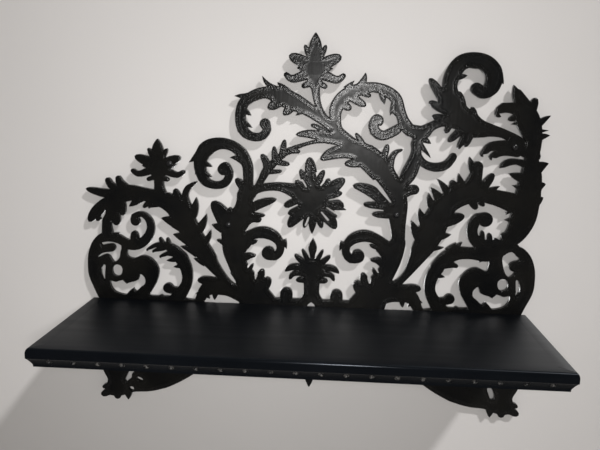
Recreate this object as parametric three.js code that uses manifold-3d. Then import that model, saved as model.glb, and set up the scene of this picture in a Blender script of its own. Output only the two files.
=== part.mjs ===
// Wall shelf with a fret-cut back panel. Millimetres, +Z up, the wall is the plane Y = 0 and the front
// faces -Y. Z = 0 is the top of the shelf board and X = 0 its middle.
import * as THREE from "three";
import { mergeVertices } from "three/addons/utils/BufferGeometryUtils.js";
import Module from "manifold-3d";

// Clearance between pieces that touch
const CLEARANCE = 0.3;

// Shelf
const SHELF_WIDTH = 600;
const SHELF_DEPTH = 200;
const SHELF_THICKNESS = 23;

// Edge moulding: an ovolo over a flat band, a cove and a small foot
const MOULDING_WIDTH = 18;
const OVOLO_RUN = 5;
const OVOLO_DROP = 8;
const BAND_HEIGHT = 3.5;
const COVE_RUN = 6;
const FOOT_HEIGHT = 2;
const CUP_COUNT = 21;
const CUP_PITCH = 27.4;
const CUP_RADIUS = 3.6;
const CUP_INSET = 2.1;
const CUP_DROP = 15.6;

// Back panel and what holds it off the wall
const PANEL_THICKNESS = 6;
const PANEL_WIDTH = 610;
const PANEL_HEIGHT = 514;
const STANDOFF = 6;
const SPACER_RADIUS = 7;

// Screws
const WALL_SCREW_RADIUS = 2;
const WALL_SCREW_BITE = 30;
const WALL_HEAD_RADIUS = 4;
const WALL_HEAD_HEIGHT = 2.4;
const BOARD_SCREW_RADIUS = 1.75;
const BOARD_SCREW_BITE = 11;
const BOARD_HEAD_RADIUS = 3.5;
const BOARD_HEAD_HEIGHT = 2;
const REAR_SCREW_BITE = 22;
const REAR_SCREW_INSET = 110;
const HEAD_RIM_SHARE = 0.3;
const POINT_RADII = 2;

// How far a cutter runs past the face it opens, and a pilot hole past its screw
const OVERRUN = 1;
const PILOT_SPARE = 1;

// Corner braces under the board, and their screws as shares of the legs' lengths
const BRACE_WIDTH = 16;
const BRACE_THICKNESS = 2;
const BRACE_REACH = 120;
const BRACE_DROP = 75;
const BRACE_INSET = 100;
const BRACE_BEND = 3;
const BRACE_WALL_SHARES = [0.35, 0.8];
const BRACE_BOARD_SHARES = [0.4, 0.85];

// The ornament is drawn on a sheet of this many columns and rows, which is then stretched to the panel's size
const SHEET_COLUMN_COUNT = 610;
const SHEET_ROW_COUNT = 514;
const STEP = 7;
const EDGE_TOLERANCE = 0.37;
const BEND_MARGIN = 0.9;
const HOLE_FACES = 8;
const CUP_FACES = 6;
const CURVE_PARTS = 5;

// Upright axes of the sheet that its pairs are mirrored about; the drop's is the palmette's too
const FOOT_AXIS = 8;
const FOOT_LEAF_AXIS = 2.75;
const CORNER_AXIS = 0.8;
const APRON_AXIS = 4.5;
const LOWER_SCROLL_AXIS = 1.5;
const DROP_AXIS = 7.5;

// Screws through the panel into the wall, as points of the sheet
const PANEL_SCREWS = [
  [-188, 191],
  [-108, 110],
  [118, 131],
  [266, 225],
];

const wasm = await Module();
wasm.setup();

const panelBack = -(STANDOFF + CLEARANCE);
const panelFront = panelBack - PANEL_THICKNESS;
const boardBack = panelFront - CLEARANCE;
const boardFront = boardBack - SHELF_DEPTH;
const boardHalf = SHELF_WIDTH / 2 - MOULDING_WIDTH;
const boardEdge = boardFront + MOULDING_WIDTH;
const underBoard = -SHELF_THICKNESS - CLEARANCE;

const blackWood = { color: 0x14161a, roughness: 0.45, metalness: 0 };
const blackBoard = { color: 0x17191e, roughness: 0.38, metalness: 0 };
const blackSteel = { color: 0x101012, roughness: 0.35, metalness: 0.8 };
const zincSteel = { color: 0x9a9ca0, roughness: 0.35, metalness: 0.9 };
const nylon = { color: 0x1b1b1c, roughness: 0.6, metalness: 0 };

const root = new THREE.Group();

// Stands a drawing up as seen from the front, with its back at the given y and its depth towards -Y
function upright(back) {
  const x = new THREE.Vector3(1, 0, 0);
  const y = new THREE.Vector3(0, 0, 1);
  const z = new THREE.Vector3(0, -1, 0);
  return new THREE.Matrix4().makeBasis(x, y, z).setPosition(0, back, 0);
}

// A geometry as a solid for the booleans
function solidOf(geometry) {
  const bare = geometry.clone();
  bare.deleteAttribute("normal");
  bare.deleteAttribute("uv");
  const merged = mergeVertices(bare, 1e-4);
  return new wasm.Manifold(
    new wasm.Mesh({
      numProp: 3,
      vertProperties: merged.attributes.position.array,
      triVerts: new Uint32Array(merged.index.array),
    }),
  );
}

// A solid as a named mesh of the part
function addPiece(name, solid, finish) {
  const mesh = solid.getMesh();
  const geometry = new THREE.BufferGeometry();
  geometry.setAttribute("position", new THREE.BufferAttribute(mesh.vertProperties, 3));
  geometry.setIndex(new THREE.BufferAttribute(mesh.triVerts, 1));
  geometry.computeVertexNormals();
  const piece = new THREE.Mesh(geometry, new THREE.MeshStandardMaterial(finish));
  piece.name = name;
  root.add(piece);
}

// A round bar along Y from one place to another
function barY(radius, x, z, from, to, faces = HOLE_FACES) {
  const bar = new THREE.CylinderGeometry(radius, radius, Math.abs(to - from), faces);
  bar.translate(x, (from + to) / 2, z);
  return solidOf(bar);
}

// A round bar along Z from one height to another
function barZ(radius, x, y, from, to, faces = HOLE_FACES) {
  const bar = new THREE.CylinderGeometry(radius, radius, Math.abs(to - from), faces);
  bar.rotateX(Math.PI / 2);
  bar.translate(x, y, (from + to) / 2);
  return solidOf(bar);
}

// The outline of a stem: a smooth curve through points of x, z and width, with round ends
function stem(...points) {
  const curve = new THREE.CatmullRomCurve3(
    points.map(([x, z, width]) => new THREE.Vector3(x, z, width)),
    false,
    "centripetal",
  );
  const steps = Math.max(points.length - 1, Math.round(curve.getLength() / STEP));
  const spine = [];
  for (let i = 0; i <= steps; i++) spine.push(curve.getPoint(i / steps));
  const left = [];
  const right = [];
  spine.forEach((p, i) => {
    const before = spine[Math.max(i - 1, 0)];
    const after = spine[Math.min(i + 1, steps)];
    const along = new THREE.Vector2(after.x - before.x, after.y - before.y).normalize();
    const reach = innerReach(before, p, after);
    const half = Math.abs(p.z) / 2;
    const leftHalf = reach > 0 ? Math.min(half, reach) : half;
    const rightHalf = reach < 0 ? Math.min(half, -reach) : half;
    left.push(new THREE.Vector2(p.x - along.y * leftHalf, p.y + along.x * leftHalf));
    right.push(new THREE.Vector2(p.x + along.y * rightHalf, p.y - along.x * rightHalf));
  });
  const end = roundEnd(spine[steps], spine[steps - 1]);
  const start = roundEnd(spine[0], spine[1]);
  return [...right, ...end, ...left.reverse(), ...start];
}

// How far a stem may reach to its inner side before its own bend folds it, with the bend's sign
function innerReach(before, p, after) {
  const a = new THREE.Vector2(p.x - before.x, p.y - before.y);
  const b = new THREE.Vector2(after.x - p.x, after.y - p.y);
  const turn = Math.atan2(a.cross(b), a.dot(b));
  if (Math.abs(turn) < 1e-3) return 0;
  return (BEND_MARGIN * (a.length() + b.length())) / 2 / turn;
}

// The points of a round end, from the right side of the way out to its left
function roundEnd(tip, inner) {
  const radius = Math.abs(tip.z) / 2;
  const heading = Math.atan2(tip.y - inner.y, tip.x - inner.x);
  const points = [];
  const parts = radius > 5 ? 6 : radius > 2 ? 4 : 2;
  for (let i = 1; i < parts; i++) {
    const angle = heading - Math.PI / 2 + (Math.PI * i) / parts;
    points.push(new THREE.Vector2(tip.x + radius * Math.cos(angle), tip.y + radius * Math.sin(angle)));
  }
  return points;
}

// The outline of a leaf lobe from its root to its tip, bowed to the left by bow; the fuller, the rounder its tip
function lobe(x0, z0, x1, z1, width, bow = 0, fullness = 1.6) {
  const from = new THREE.Vector2(x0, z0);
  const to = new THREE.Vector2(x1, z1);
  const along = to.clone().sub(from).normalize();
  const side = new THREE.Vector2(-along.y, along.x);
  const middle = from.clone().add(to).multiplyScalar(0.5).addScaledVector(side, 2 * bow);
  const spine = new THREE.QuadraticBezierCurve(from, middle, to);
  const parts = from.distanceTo(to) > 24 ? 5 : 4;
  const left = [];
  const right = [];
  for (let i = 0; i < parts; i++) {
    const t = Math.sin((Math.PI / 2) * (i / parts));
    const half = (width / 2) * Math.pow(1 - Math.pow(t, fullness), fullness > 2 ? 0.5 : 0.8);
    const p = spine.getPoint(t);
    const way = spine.getTangent(t);
    left.push(new THREE.Vector2(p.x - way.y * half, p.y + way.x * half));
    right.push(new THREE.Vector2(p.x + way.y * half, p.y - way.x * half));
  }
  return [...right, to, ...left.reverse()];
}

// A lobe with a round tip
const petal = (x0, z0, x1, z1, width, bow = 0) => lobe(x0, z0, x1, z1, width, bow, 4);

// A closed smooth outline
function patch(...points) {
  const curve = new THREE.CatmullRomCurve3(
    points.map(([x, z]) => new THREE.Vector3(x, z, 0)),
    true,
    "centripetal",
  );
  const steps = Math.max(2 * points.length, Math.round(curve.getLength() / STEP));
  return curve.getPoints(steps).slice(0, steps).map((p) => new THREE.Vector2(p.x, p.y));
}

// A closed outline with straight sides
const plain = (...points) => points.map(([x, z]) => new THREE.Vector2(x, z));

// Outlines turned over about an upright axis
const mirrored = (outlines, axis) =>
  outlines.map((outline) => outline.map((p) => new THREE.Vector2(2 * axis - p.x, p.y)).reverse());

// Five-part flower on its collar
function fleur(x, z, wide, high) {
  const place = (outline) => outline.map((p) => new THREE.Vector2(x + p.x * wide, z + p.y * high));
  const half = [
    petal(4, 32, 14, 53, 8),
    petal(3, 24, 34, 39, 16, 1),
    stem([4, 18, 15], [18, 13, 12], [30, 9.5, 9.5], [37, 14.5, 7]),
    lobe(0, 22, 23.5, 23.5, 15),
    stem([3, 6, 9], [13.5, 1, 7]),
  ];
  return [
    stem([0, 4, 16], [0, 19, 27], [0, 34, 20]),
    stem([0, 30, 15], [0, 48, 17], [0, 58, 13], [0, 67, 3]),
    ...half,
    ...mirrored(half, 0),
  ].map(place);
}

// Many-petalled flower in the middle
function sunflower() {
  return [
    stem([6, 142, 46], [6, 156, 46]),
    stem([4.5, 166, 13], [3, 186, 11]),
    lobe(2.7, 184, -0.3, 204.5, 15.5, 0, 2.2),
    petal(-1, 166, -12, 188, 9.5),
    petal(9, 166, 20, 188, 9.5),
    petal(-2, 156, -18, 173, 11),
    petal(14, 158, 28, 177, 9.5),
    lobe(18, 152, 48, 177, 19, 1, 2.6),
    petal(20, 153, 45, 158, 10),
    petal(18, 146, 48, 140, 17),
    lobe(34, 140, 51, 135.5, 8),
    lobe(12, 140, 38, 109, 20, 2, 2.4),
    petal(20, 138, 39, 125, 11),
    lobe(6, 130, 6, 101, 15),
    petal(14, 128, 19, 109.5, 9),
    petal(0, 128, -5, 109, 8),
    lobe(0, 140, -26, 109, 19, -2, 2.4),
    petal(-5, 139, -27, 127, 11),
    petal(-8, 148, -33, 138, 12),
    stem([-78, 157, 13], [-60, 162.5, 11], [-40, 164, 12], [-25, 161, 17], [-10, 156, 26]),
  ];
}

// Slits between the petals of the middle flower
function sunflowerSlits() {
  return [
    stem([-9, 174, 3.2], [-3, 164.5, 2.2]),
    stem([22, 176, 3.4], [16, 167, 2.2]),
    stem([51, 153.5, 4.5], [39, 150, 3], [27.5, 148, 2.2]),
    stem([18, 131, 2.6], [27.5, 120.5, 3.6]),
    stem([1, 123.5, 2.4], [-2.8, 112, 3.6]),
    stem([42, 128, 4], [33, 132.5, 3], [25, 137.5, 2.2]),
    stem([-26, 134.5, 3.6], [-14.5, 140, 2.4]),
  ];
}

// Fan of fronds over the middle of the shelf
function palmette(axis) {
  const half = [
    petal(axis + 2, 56, axis + 14.5, 80, 6.5),
    petal(axis + 3, 52, axis + 24.5, 72, 8.5),
    stem([axis + 4, 50, 10], [axis + 21, 55, 9], [axis + 31, 52.5, 8], [axis + 36, 48.5, 3]),
    stem([axis + 4, 43, 8], [axis + 19, 46, 7.5], [axis + 27, 43.5, 7], [axis + 30, 38, 4]),
    petal(axis + 4, 37, axis + 22, 36, 8.5),
    stem([axis + 34.5, -8, 17], [axis + 34.5, 16.5, 17]),
  ];
  return [
    stem([axis, -8, 50], [axis, 3, 42], [axis, 17, 22], [axis, 35, 22], [axis, 48, 20], [axis, 58, 12]),
    stem([axis - 75, -2, 23], [axis + 75, -2, 23]),
    stem([axis, 52, 8], [axis, 70, 6.5], [axis, 82, 11.5], [axis, 95, 1.5]),
    ...half,
    ...mirrored(half, axis),
  ];
}

// Left half of the foot: lower main stem and the inner volute with its fronds
function foot() {
  return [
    stem([-62, -6, 50], [-72, 10, 46], [-82, 32, 32], [-95, 54, 25], [-103, 75, 25], [-106, 92, 22]),
    stem([-100, 84, 16], [-90, 89, 14], [-77, 97, 14], [-61, 101, 16.5], [-46, 96.5, 15],
      [-37, 86, 11.5], [-37.5, 75, 11], [-44, 68.5, 12.5], [-52.5, 72.5, 19]),
    lobe(-32, 92, -28, 79, 7),
    lobe(-90, 85, -68, 88.5, 8, -1, 2.4),
    stem([-93, 52, 14], [-88, 63, 12], [-80, 67.5, 9.5], [-72.5, 68, 4.5]),
    stem([-86, 36, 14], [-79.5, 48, 8.5], [-74, 55.5, 3]),
    petal(-70, 22, -60, 49.5, 13),
    petal(-62, 18, -50, 37.5, 16, 1),
    patch([-96, 86], [-76, 84], [-82, 76], [-86, 70], [-89, 63.5], [-98, 66]),
  ];
}

// Slits between the fronds of the foot, drawn for the left
function footSlits() {
  return [
    stem([-81.5, 50, 1.6], [-78.5, 56.5, 4]),
    stem([-70.6, 34, 1.6], [-69.5, 43, 5]),
  ];
}

// Leaf mass that spreads from the foot, drawn for the left
function footLeaf() {
  return [
    stem([-88, 16, 30], [-108, 22, 25], [-126, 23, 25], [-139, 17, 19], [-147, 4, 13], [-151, -4, 13]),
    petal(-128, 29, -151, 30, 12, -1),
    lobe(-138, 17, -154, 10.5, 11),
    lobe(-126, 14, -127, 3, 9),
    lobe(-139, 10, -134, 4.5, 6),
  ];
}

// Lower scroll with a leafy crown, on the left
function leftLowerScroll() {
  return [
    ...lowerScroll(),
    stem([-173, 60, 18], [-184, 72, 14], [-196, 78, 10], [-210, 77.5, 6], [-220, 71, 4.5]),
    petal(-189, 74, -193, 89, 6),
    petal(-197, 76, -203.5, 89, 6),
    stem([-190, 75, 8], [-203, 73, 6.5], [-211.5, 69, 5]),
    stem([-178, 66, 10], [-193, 66.5, 6], [-201.5, 62, 5]),
    lobe(-176, 61, -194, 57, 9, 1),
  ];
}

// The turn of a lower scroll that both sides share, drawn for the left
function lowerScroll() {
  return [
    stem([-185, -4, 22], [-173, 12, 17], [-165.5, 28, 14.5], [-166.5, 46, 16], [-174, 61, 18]),
    stem([-172, 14, 13], [-183, 13.5, 10], [-192, 17.5, 14.5]),
    stem([-203, -3, 7], [-202.5, 4, 7]),
    stem([-204, -1, 8], [-190, -1, 8], [-178, 3, 10]),
    lobe(-168, 51, -184.5, 48, 9),
    lobe(-166, 42, -160.5, 51, 6),
  ];
}

// Corner cluster: an open C with a mask-like curl inside, drawn for the left
function corner() {
  return [
    patch([-284, -8], [-296, 12], [-304, 32], [-305, 50], [-303, 66], [-296, 82], [-283, 93], [-266, 92],
      [-250, 84], [-249, 62], [-240, 58.5], [-227, 63], [-214, 58], [-205, 44], [-208, 26], [-217, 10],
      [-229, -8]),
  ];
}

// Upper opening of the left corner cluster, and the curl that reaches into it
function leftCornerOpening() {
  return patch([-286, 77], [-279, 80], [-269, 80], [-257, 75.5], [-258.5, 66], [-260.5, 57.5], [-268, 52],
    [-273.5, 60], [-280, 62.5], [-292, 57], [-284, 65], [-280, 71]);
}

const leftCornerCurl = () => stem([-293, 64, 9], [-283, 70, 10.5], [-271, 72, 11.5]);

// Upper opening of the right corner cluster, which bends round a curl of its own
function rightCornerOpening() {
  return patch([261.5, 78], [265.7, 82.7], [273.5, 86], [279.5, 81], [285, 75.5], [278.5, 73.5], [273.2, 70.8],
    [270.8, 66.3], [273, 61.5], [277, 59.3], [281.5, 58.8], [278.5, 56], [273, 51], [266.7, 56.5], [263, 68]);
}

// The other openings of a corner cluster, drawn for the left
function cornerCuts() {
  return [
    stem([-282.5, 26, 2.5], [-284, 36, 6], [-281.5, 46.5, 3.5]),
    stem([-263.5, 39, 14], [-263, 41.5, 14]),
    patch([-274, 25], [-273, 17], [-268, 10], [-259, 6.5], [-249, 6], [-241, 14], [-238, 11], [-231, 17],
      [-225, 22], [-224.5, 30], [-231, 36.5], [-234, 28], [-243, 24.5], [-252, 22.5], [-256, 26.5],
      [-266, 23.5]),
  ];
}

// Teeth that reach into a corner cluster's lower opening, drawn for the left
function cornerTeeth() {
  return [
    lobe(-249, 1, -241, 16, 9),
    lobe(-246, 30, -251, 21, 8),
  ];
}

// Left corner's neck and the little scroll above it
function leftTopScroll() {
  return [
    stem([-253, 54, 8], [-253.5, 66, 8], [-251, 78, 10]),
    stem([-276, 83, 19], [-262, 82.5, 18], [-249, 77.5, 14], [-235, 77.5, 14], [-222, 86, 13],
      [-215.5, 100, 11], [-218, 113, 9.5], [-228, 120.5, 7.5], [-238, 116.5, 10], [-236.5, 110.5, 13]),
    petal(-238, 80, -238.5, 97, 12),
    lobe(-268, 90, -259.5, 93.5, 6),
    stem([-268, 140, 22], [-274, 122, 14], [-277, 107, 12.5], [-276, 92, 16], [-277, 84, 18]),
  ];
}

// Left branch with its rows of teeth
function leftBranch() {
  return [
    stem([-90, 16, 28], [-108, 34, 17], [-122, 46, 18], [-134, 60, 22], [-148, 79, 26], [-160, 98, 28],
      [-170, 117, 30], [-183, 134, 28], [-203, 143, 21], [-222, 147.5, 18], [-240, 149.5, 21],
      [-258, 147, 24], [-268, 142, 20]),
    lobe(-170, 106, -200.5, 116, 20, -1),
    lobe(-158, 84, -184.5, 94, 17, -1),
    lobe(-150, 68, -174.5, 77.5, 12, -1),
    lobe(-140, 54, -156, 61, 8),
    lobe(-144, 80, -132.5, 102, 11, -2),
    lobe(-152, 98, -138.5, 123.5, 14, -2),
    lobe(-163, 115, -152.5, 146, 16, -3),
    stem([-165, 134, 12], [-167.5, 148, 9], [-163, 159, 7.5], [-152, 167, 2.5]),
    petal(-176, 138, -181.5, 157, 11),
    stem([-196, 134, 8], [-207, 134, 5.5], [-216, 130.5, 5]),
    petal(-212, 142, -225.5, 129.5, 8),
    lobe(-230, 142, -245, 130.5, 12),
  ];
}

// Spray of leaves at the left end of the branch
function leftSpray() {
  return [
    petal(-256, 138, -254, 117.5, 11),
    petal(-268, 130, -262, 103.5, 15),
    lobe(-266, 138, -302, 107.5, 18, -4, 3),
    petal(-278, 128, -291, 109, 10),
    lobe(-258, 145, -304.5, 153.5, 12.5, 1, 3),
    stem([-256, 140, 16], [-266, 131.5, 15]),
    stem([-258, 152, 12], [-268, 157, 10], [-273.5, 165.5, 8]),
    stem([-250, 155, 14], [-257, 163, 10.5], [-259, 168.5, 8]),
    stem([-203, 174, 15], [-203, 160, 13], [-202, 148, 20]),
  ];
}

// Left main stem above the foot, with its leaves
function leftStem() {
  return [
    stem([-104, 84, 24], [-105, 98, 26], [-98, 112, 34], [-90, 126, 27], [-87, 140, 21], [-84.5, 153, 23],
      [-82, 166, 14], [-81.5, 180, 13.5]),
    lobe(-106, 104, -131, 141, 24, -2, 2.6),
    petal(-102, 114, -107, 134, 10),
    lobe(-106, 102, -131, 109.5, 18, 0),
    lobe(-104, 82, -124.5, 88.5, 12),
    lobe(-86, 158, -99, 173, 12, -1, 2.6),
    lobe(-80, 132, -43, 146.5, 13, 2, 2.6),
    petal(-80, 125, -58, 124, 6.5),
    stem([-96, 100, 14], [-86, 113, 14], [-76, 118.5, 9], [-67, 118.5, 8.5]),
    lobe(-76, 150, -70, 154, 8),
  ];
}

// The round scroll that ends the left main stem
function leftScroll() {
  return [
    stem([-81.5, 176, 13.5], [-82.5, 190, 14.5], [-90, 206, 15], [-102, 216, 14], [-119, 219.5, 15.5],
      [-136, 213.5, 20], [-146, 199, 18], [-146, 182, 15.5], [-139.5, 168.5, 13], [-127, 163.5, 10.5],
      [-113.5, 166.5, 11], [-107.5, 176.5, 11], [-110, 186, 12.5], [-114.5, 186, 15.5]),
    stem([-115, 185, 16], [-113, 187, 16]),
    lobe(-142, 214, -162, 193, 12, 2),
    lobe(-148, 190, -153.5, 176.5, 7),
    lobe(-142, 193, -130.5, 188, 8),
    lobe(-142, 180, -131, 174, 7),
    lobe(-128, 214, -133.5, 207.5, 6),
    lobe(-88, 196, -106.5, 201, 10, -2),
  ];
}

// Sprig between the left stem and the middle stem
function sprig() {
  return [
    stem([-72, 156, 9], [-64, 172, 9], [-56, 187, 12], [-45, 198, 9.5], [-36, 207, 9], [-26, 212, 8],
      [-15, 211.5, 5]),
    stem([-28, 213, 7], [-14, 218.5, 5], [4, 224.5, 5], [22, 226.5, 6], [44, 224, 10]),
    petal(-56, 188, -65, 206.5, 10, -2),
    petal(-46, 195, -47.5, 218, 8),
    petal(-37, 203, -33.5, 227, 8.5),
    petal(-44, 197, -26, 194, 7.5),
    petal(-54, 183, -36, 185, 6),
    lobe(28, 228, -19, 233.5, 13, -4, 2.6),
    stem([38, 229, 8], [22, 236, 8], [8, 245, 6], [3, 246.5, 5]),
  ];
}

// Upper left scroll with its acanthus collar
function upperLeftScroll() {
  return [
    stem([52, 224, 20], [38, 238, 15], [24, 248, 13], [10, 258, 14.5], [-5, 268, 18], [-22, 276, 23],
      [-40, 283, 24], [-58, 287.5, 16], [-75, 283, 14.5], [-88, 274, 14], [-92.5, 260, 14],
      [-92, 246, 14], [-87, 235.5, 13.5], [-76, 229.5, 11.5], [-64, 230.5, 11], [-57.5, 238.5, 11],
      [-60, 247, 14]),
    lobe(-44, 291, -64.5, 308.5, 9, 3),
    lobe(-30, 289, -45, 301, 9),
    lobe(-78, 282, -101, 282, 10),
    lobe(-88, 264, -78.5, 257, 8),
    lobe(-88, 248, -77, 241, 7),
    lobe(-4, 270, -19.5, 258.5, 11),
    lobe(-22, 276, -36, 259, 14, 1, 2.4),
    lobe(-38, 282, -57, 267.5, 16, 2, 2.4),
    lobe(-93, 248, -95.5, 234.5, 7),
    stem([5, 302, 13], [6.5, 286, 10], [10, 271, 9], [17, 258, 9.5], [28, 246, 12]),
  ];
}

// Upper right scroll, which ends at the small bridge
function upperRightScroll() {
  return [
    stem([44, 228, 18], [36, 241, 14], [32.5, 255, 15], [33, 268, 17], [39, 280, 18], [51, 289.5, 18],
      [66, 295, 15], [82, 297, 13], [98, 292.5, 14], [110, 283, 15], [116, 269, 13], [121, 255, 15],
      [130, 243, 16]),
    stem([122, 248, 14], [108, 241, 12], [96, 235.5, 12.5], [85.5, 240, 14], [82.5, 250, 13],
      [87, 254.5, 17]),
    petal(38, 277, 53, 268, 11),
    petal(50, 285, 72, 273, 11),
    petal(64, 291, 78, 285.5, 8),
    lobe(92, 291, 95.5, 275, 10),
    lobe(109, 280, 103.5, 261.5, 9),
    lobe(107, 270, 112, 260, 8),
    lobe(44, 294, 56, 305, 7),
    lobe(62, 296, 69.5, 315.5, 12, -2),
  ];
}

// Broad stem in the middle of the right half
function rightStem() {
  return [
    stem([46, 226, 20], [60, 217, 24], [75, 208, 32], [90, 195, 33], [103, 179, 30], [113, 163, 27],
      [119, 148, 26], [119.5, 132, 25], [121, 115, 20], [122, 99, 18], [119, 82, 24], [112, 62, 22]),
    petal(74, 218, 59.5, 238, 8),
    petal(97, 203, 102.5, 224.5, 9),
    stem([106, 194, 12], [108, 206, 9], [113, 214, 6.5], [121, 217.5, 3]),
    lobe(60, 213, 14.5, 201.5, 19, -5, 2.6),
    petal(76, 200, 46.5, 197, 12),
    lobe(104, 146, 58.5, 168.5, 17, -5, 2.6),
    petal(104, 142, 73.5, 144, 10),
    stem([110, 139, 20], [109, 146, 18]),
    petal(108, 130, 85.5, 131, 9),
    stem([114, 152, 14], [127, 160, 12], [136, 165, 13], [140, 165.5, 13]),
    stem([118, 160, 12], [124, 172, 14], [131, 185, 20], [137, 200, 18], [139.5, 215, 13], [141, 232, 15]),
  ];
}

// Bridge from the upper right scroll and the hook under it
function rightBridge() {
  return [
    stem([126, 245, 14], [145, 240, 20], [158, 249, 12], [173, 255.5, 13], [192, 256, 22]),
    lobe(146, 234, 158.5, 226.5, 10),
    stem([138, 226, 12], [142, 209, 12], [152, 199.5, 10.5], [167, 196, 12], [180, 200, 11.5],
      [188, 210.5, 10]),
    lobe(142, 228, 159, 208, 8),
    petal(181, 251, 176, 240.5, 8),
    petal(197, 246, 180, 229.5, 10),
    petal(201, 238, 193.5, 220.5, 8),
    petal(209, 242, 202, 223.5, 10),
  ];
}

// Large scroll at the upper right
function rightTopScroll() {
  return [
    stem([286, 220, 12], [268, 234, 12], [250, 242, 12], [235, 245.5, 16], [220, 247.5, 24], [205, 253, 34],
      [193, 266, 26], [184, 282, 20], [178, 299, 19], [181, 316, 20], [191, 330, 20], [207, 334, 19],
      [223, 329, 21], [233, 316, 22], [231, 301, 20], [221, 293.5, 16], [212, 298, 15.5]),
    lobe(188, 312, 199.5, 314.5, 8),
    lobe(200, 329, 217, 323, 9),
    lobe(240, 316, 245.5, 304.5, 7),
    petal(176, 274, 151.5, 310, 13, -1),
    petal(180, 268, 153, 281, 11.5, 1),
    petal(180, 258, 157.5, 262, 10.5),
    petal(198, 262, 189.5, 294.5, 11, -1),
    petal(213, 256, 207.5, 275, 9, -1),
  ];
}

// Broad leaf that climbs the right edge
function rightLeaf() {
  return [
    stem([266, 98, 20], [277, 112, 27], [284, 130, 33], [287, 150, 34], [289, 170, 32], [290, 190, 27],
      [289, 210, 18], [291, 230, 18], [286, 246, 27], [279, 262, 30], [271, 280, 20], [264, 293, 12]),
    lobe(270, 280, 259, 304, 16, 1),
    petal(280, 262, 288, 288.5, 13),
    lobe(288, 250, 308.5, 266.5, 12, 1),
    lobe(290, 246, 307.5, 247.5, 6),
    lobe(290, 236, 309.5, 241, 12, 1),
    lobe(290, 192, 311, 205, 20, 2),
    lobe(292, 172, 309.5, 178.5, 20, 0),
    lobe(290, 150, 308, 160.5, 22, 0),
    stem([272, 272, 20], [258, 275, 14], [246, 274, 13], [242.5, 267.5, 10.5]),
    petal(272, 266, 255.5, 259.5, 9),
    lobe(276, 258, 259.5, 254, 8),
  ];
}

// Fronds that hang from the right leaf towards the middle
function rightFronds() {
  return [
    stem([292, 214, 16], [272, 224, 17], [252, 226, 15], [234, 224, 11], [226, 215, 8]),
    stem([270, 218, 12], [254, 219, 11], [243, 215, 9], [238, 211, 8]),
    stem([290, 200, 14], [272, 206, 8], [260, 205, 9], [253, 201, 7], [250, 198, 3]),
    lobe(290, 184, 261.5, 190.5, 15, 1, 2),
    lobe(290, 166, 267, 175, 12, -1),
  ];
}

// Branch from the right foot up to the right leaf
function rightBranch() {
  return [
    stem([104, 20, 28], [124, 40, 15], [137, 57, 18], [149, 76, 24], [159, 94, 31], [166, 112, 36],
      [173, 130, 34], [184, 148, 30], [202, 158, 25], [225, 162, 21], [248, 158, 21], [270, 152, 26]),
    lobe(152, 100, 138.5, 124, 16, 1),
    lobe(160, 116, 148.5, 141, 16, 2),
    lobe(168, 140, 159.5, 161.5, 13, 2),
    lobe(178, 150, 161, 169.5, 15, 0),
    lobe(188, 154, 168.5, 181, 13, -2),
    petal(196, 160, 188, 179.5, 13),
    lobe(206, 164, 196.5, 189, 14, 1),
    stem([214, 168, 26], [219, 186, 17], [220, 198, 15]),
    lobe(218, 190, 209.5, 211, 13, 1),
    petal(226, 166, 242, 190, 12),
    lobe(236, 166, 251, 173.5, 8),
    lobe(160, 88, 183.5, 89, 10, -1),
    lobe(166, 104, 192, 107, 15, -1),
    lobe(174, 124, 208, 133, 19, -1, 2.2),
    petal(214, 154, 223.5, 142, 10),
    petal(222, 156, 233, 146.5, 7.5),
  ];
}

// Scroll under the right branch
function rightMidScroll() {
  return [
    stem([268, 94, 16], [248, 92, 18], [232, 94, 16], [221.5, 104, 14], [219.5, 117, 14], [224.5, 128, 15],
      [235.5, 128.5, 19.5]),
    petal(233, 96, 233, 113.5, 7),
    petal(243, 94, 242.5, 110.5, 8),
    lobe(254, 98, 249, 104.5, 8),
    petal(276, 106, 257.5, 108, 12),
    lobe(278, 130, 261, 128.5, 10),
    lobe(268, 146, 262, 136, 8),
  ];
}

// Lower right scroll and the band that ties it to the corner cluster
function rightLowerScroll() {
  const turn = mirrored(lowerScroll(), LOWER_SCROLL_AXIS);
  return [
    ...turn,
    stem([176, 61, 18], [187, 74, 19], [202, 81.5, 18], [222, 82, 16], [240, 82, 22], [256, 88, 24],
      [276, 91, 14]),
    stem([252, 90, 20], [253, 76, 17], [253, 60, 19], [250, 48, 22]),
    lobe(188, 84, 199.5, 96, 8),
    lobe(198, 88, 207.5, 97, 8),
    stem([180, 64, 12], [192, 66, 10], [201, 64, 6]),
    lobe(238, 80, 231, 70, 10),
  ];
}

// Corner lobes of the apron under the shelf, drawn for the left
function apronLobe() {
  return [
    patch([-283, -8], [-284, -60], [-288, -106], [-281.5, -122], [-286, -136], [-282, -144], [-268, -146.5],
      [-254, -143], [-244, -139], [-222, -137], [-196, -130], [-172, -117.5], [-152, -104], [-130, -88],
      [-118, -60], [-126, -8]),
    petal(-276, -130, -290, -134, 8),
    petal(-276, -138, -292, -146, 11),
    petal(-268, -136, -268, -151, 12),
    lobe(-252.5, -134, -252, -151, 14),
  ];
}

// Small openings in the apron: a slit and two eyes in the left lobe, and one slit in the right
function apronCuts() {
  return [
    stem([-246.5, -111, 9.5], [-250, -115.5, 7.5], [-253.5, -122, 6.5]),
    stem([-237.2, -118, 5.5], [-232.5, -120, 5]),
    stem([-247.4, -134, 7], [-246.9, -134, 7]),
    stem([258, -109.5, 6.5], [261, -116, 7], [263, -122.5, 6]),
  ];
}

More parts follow.
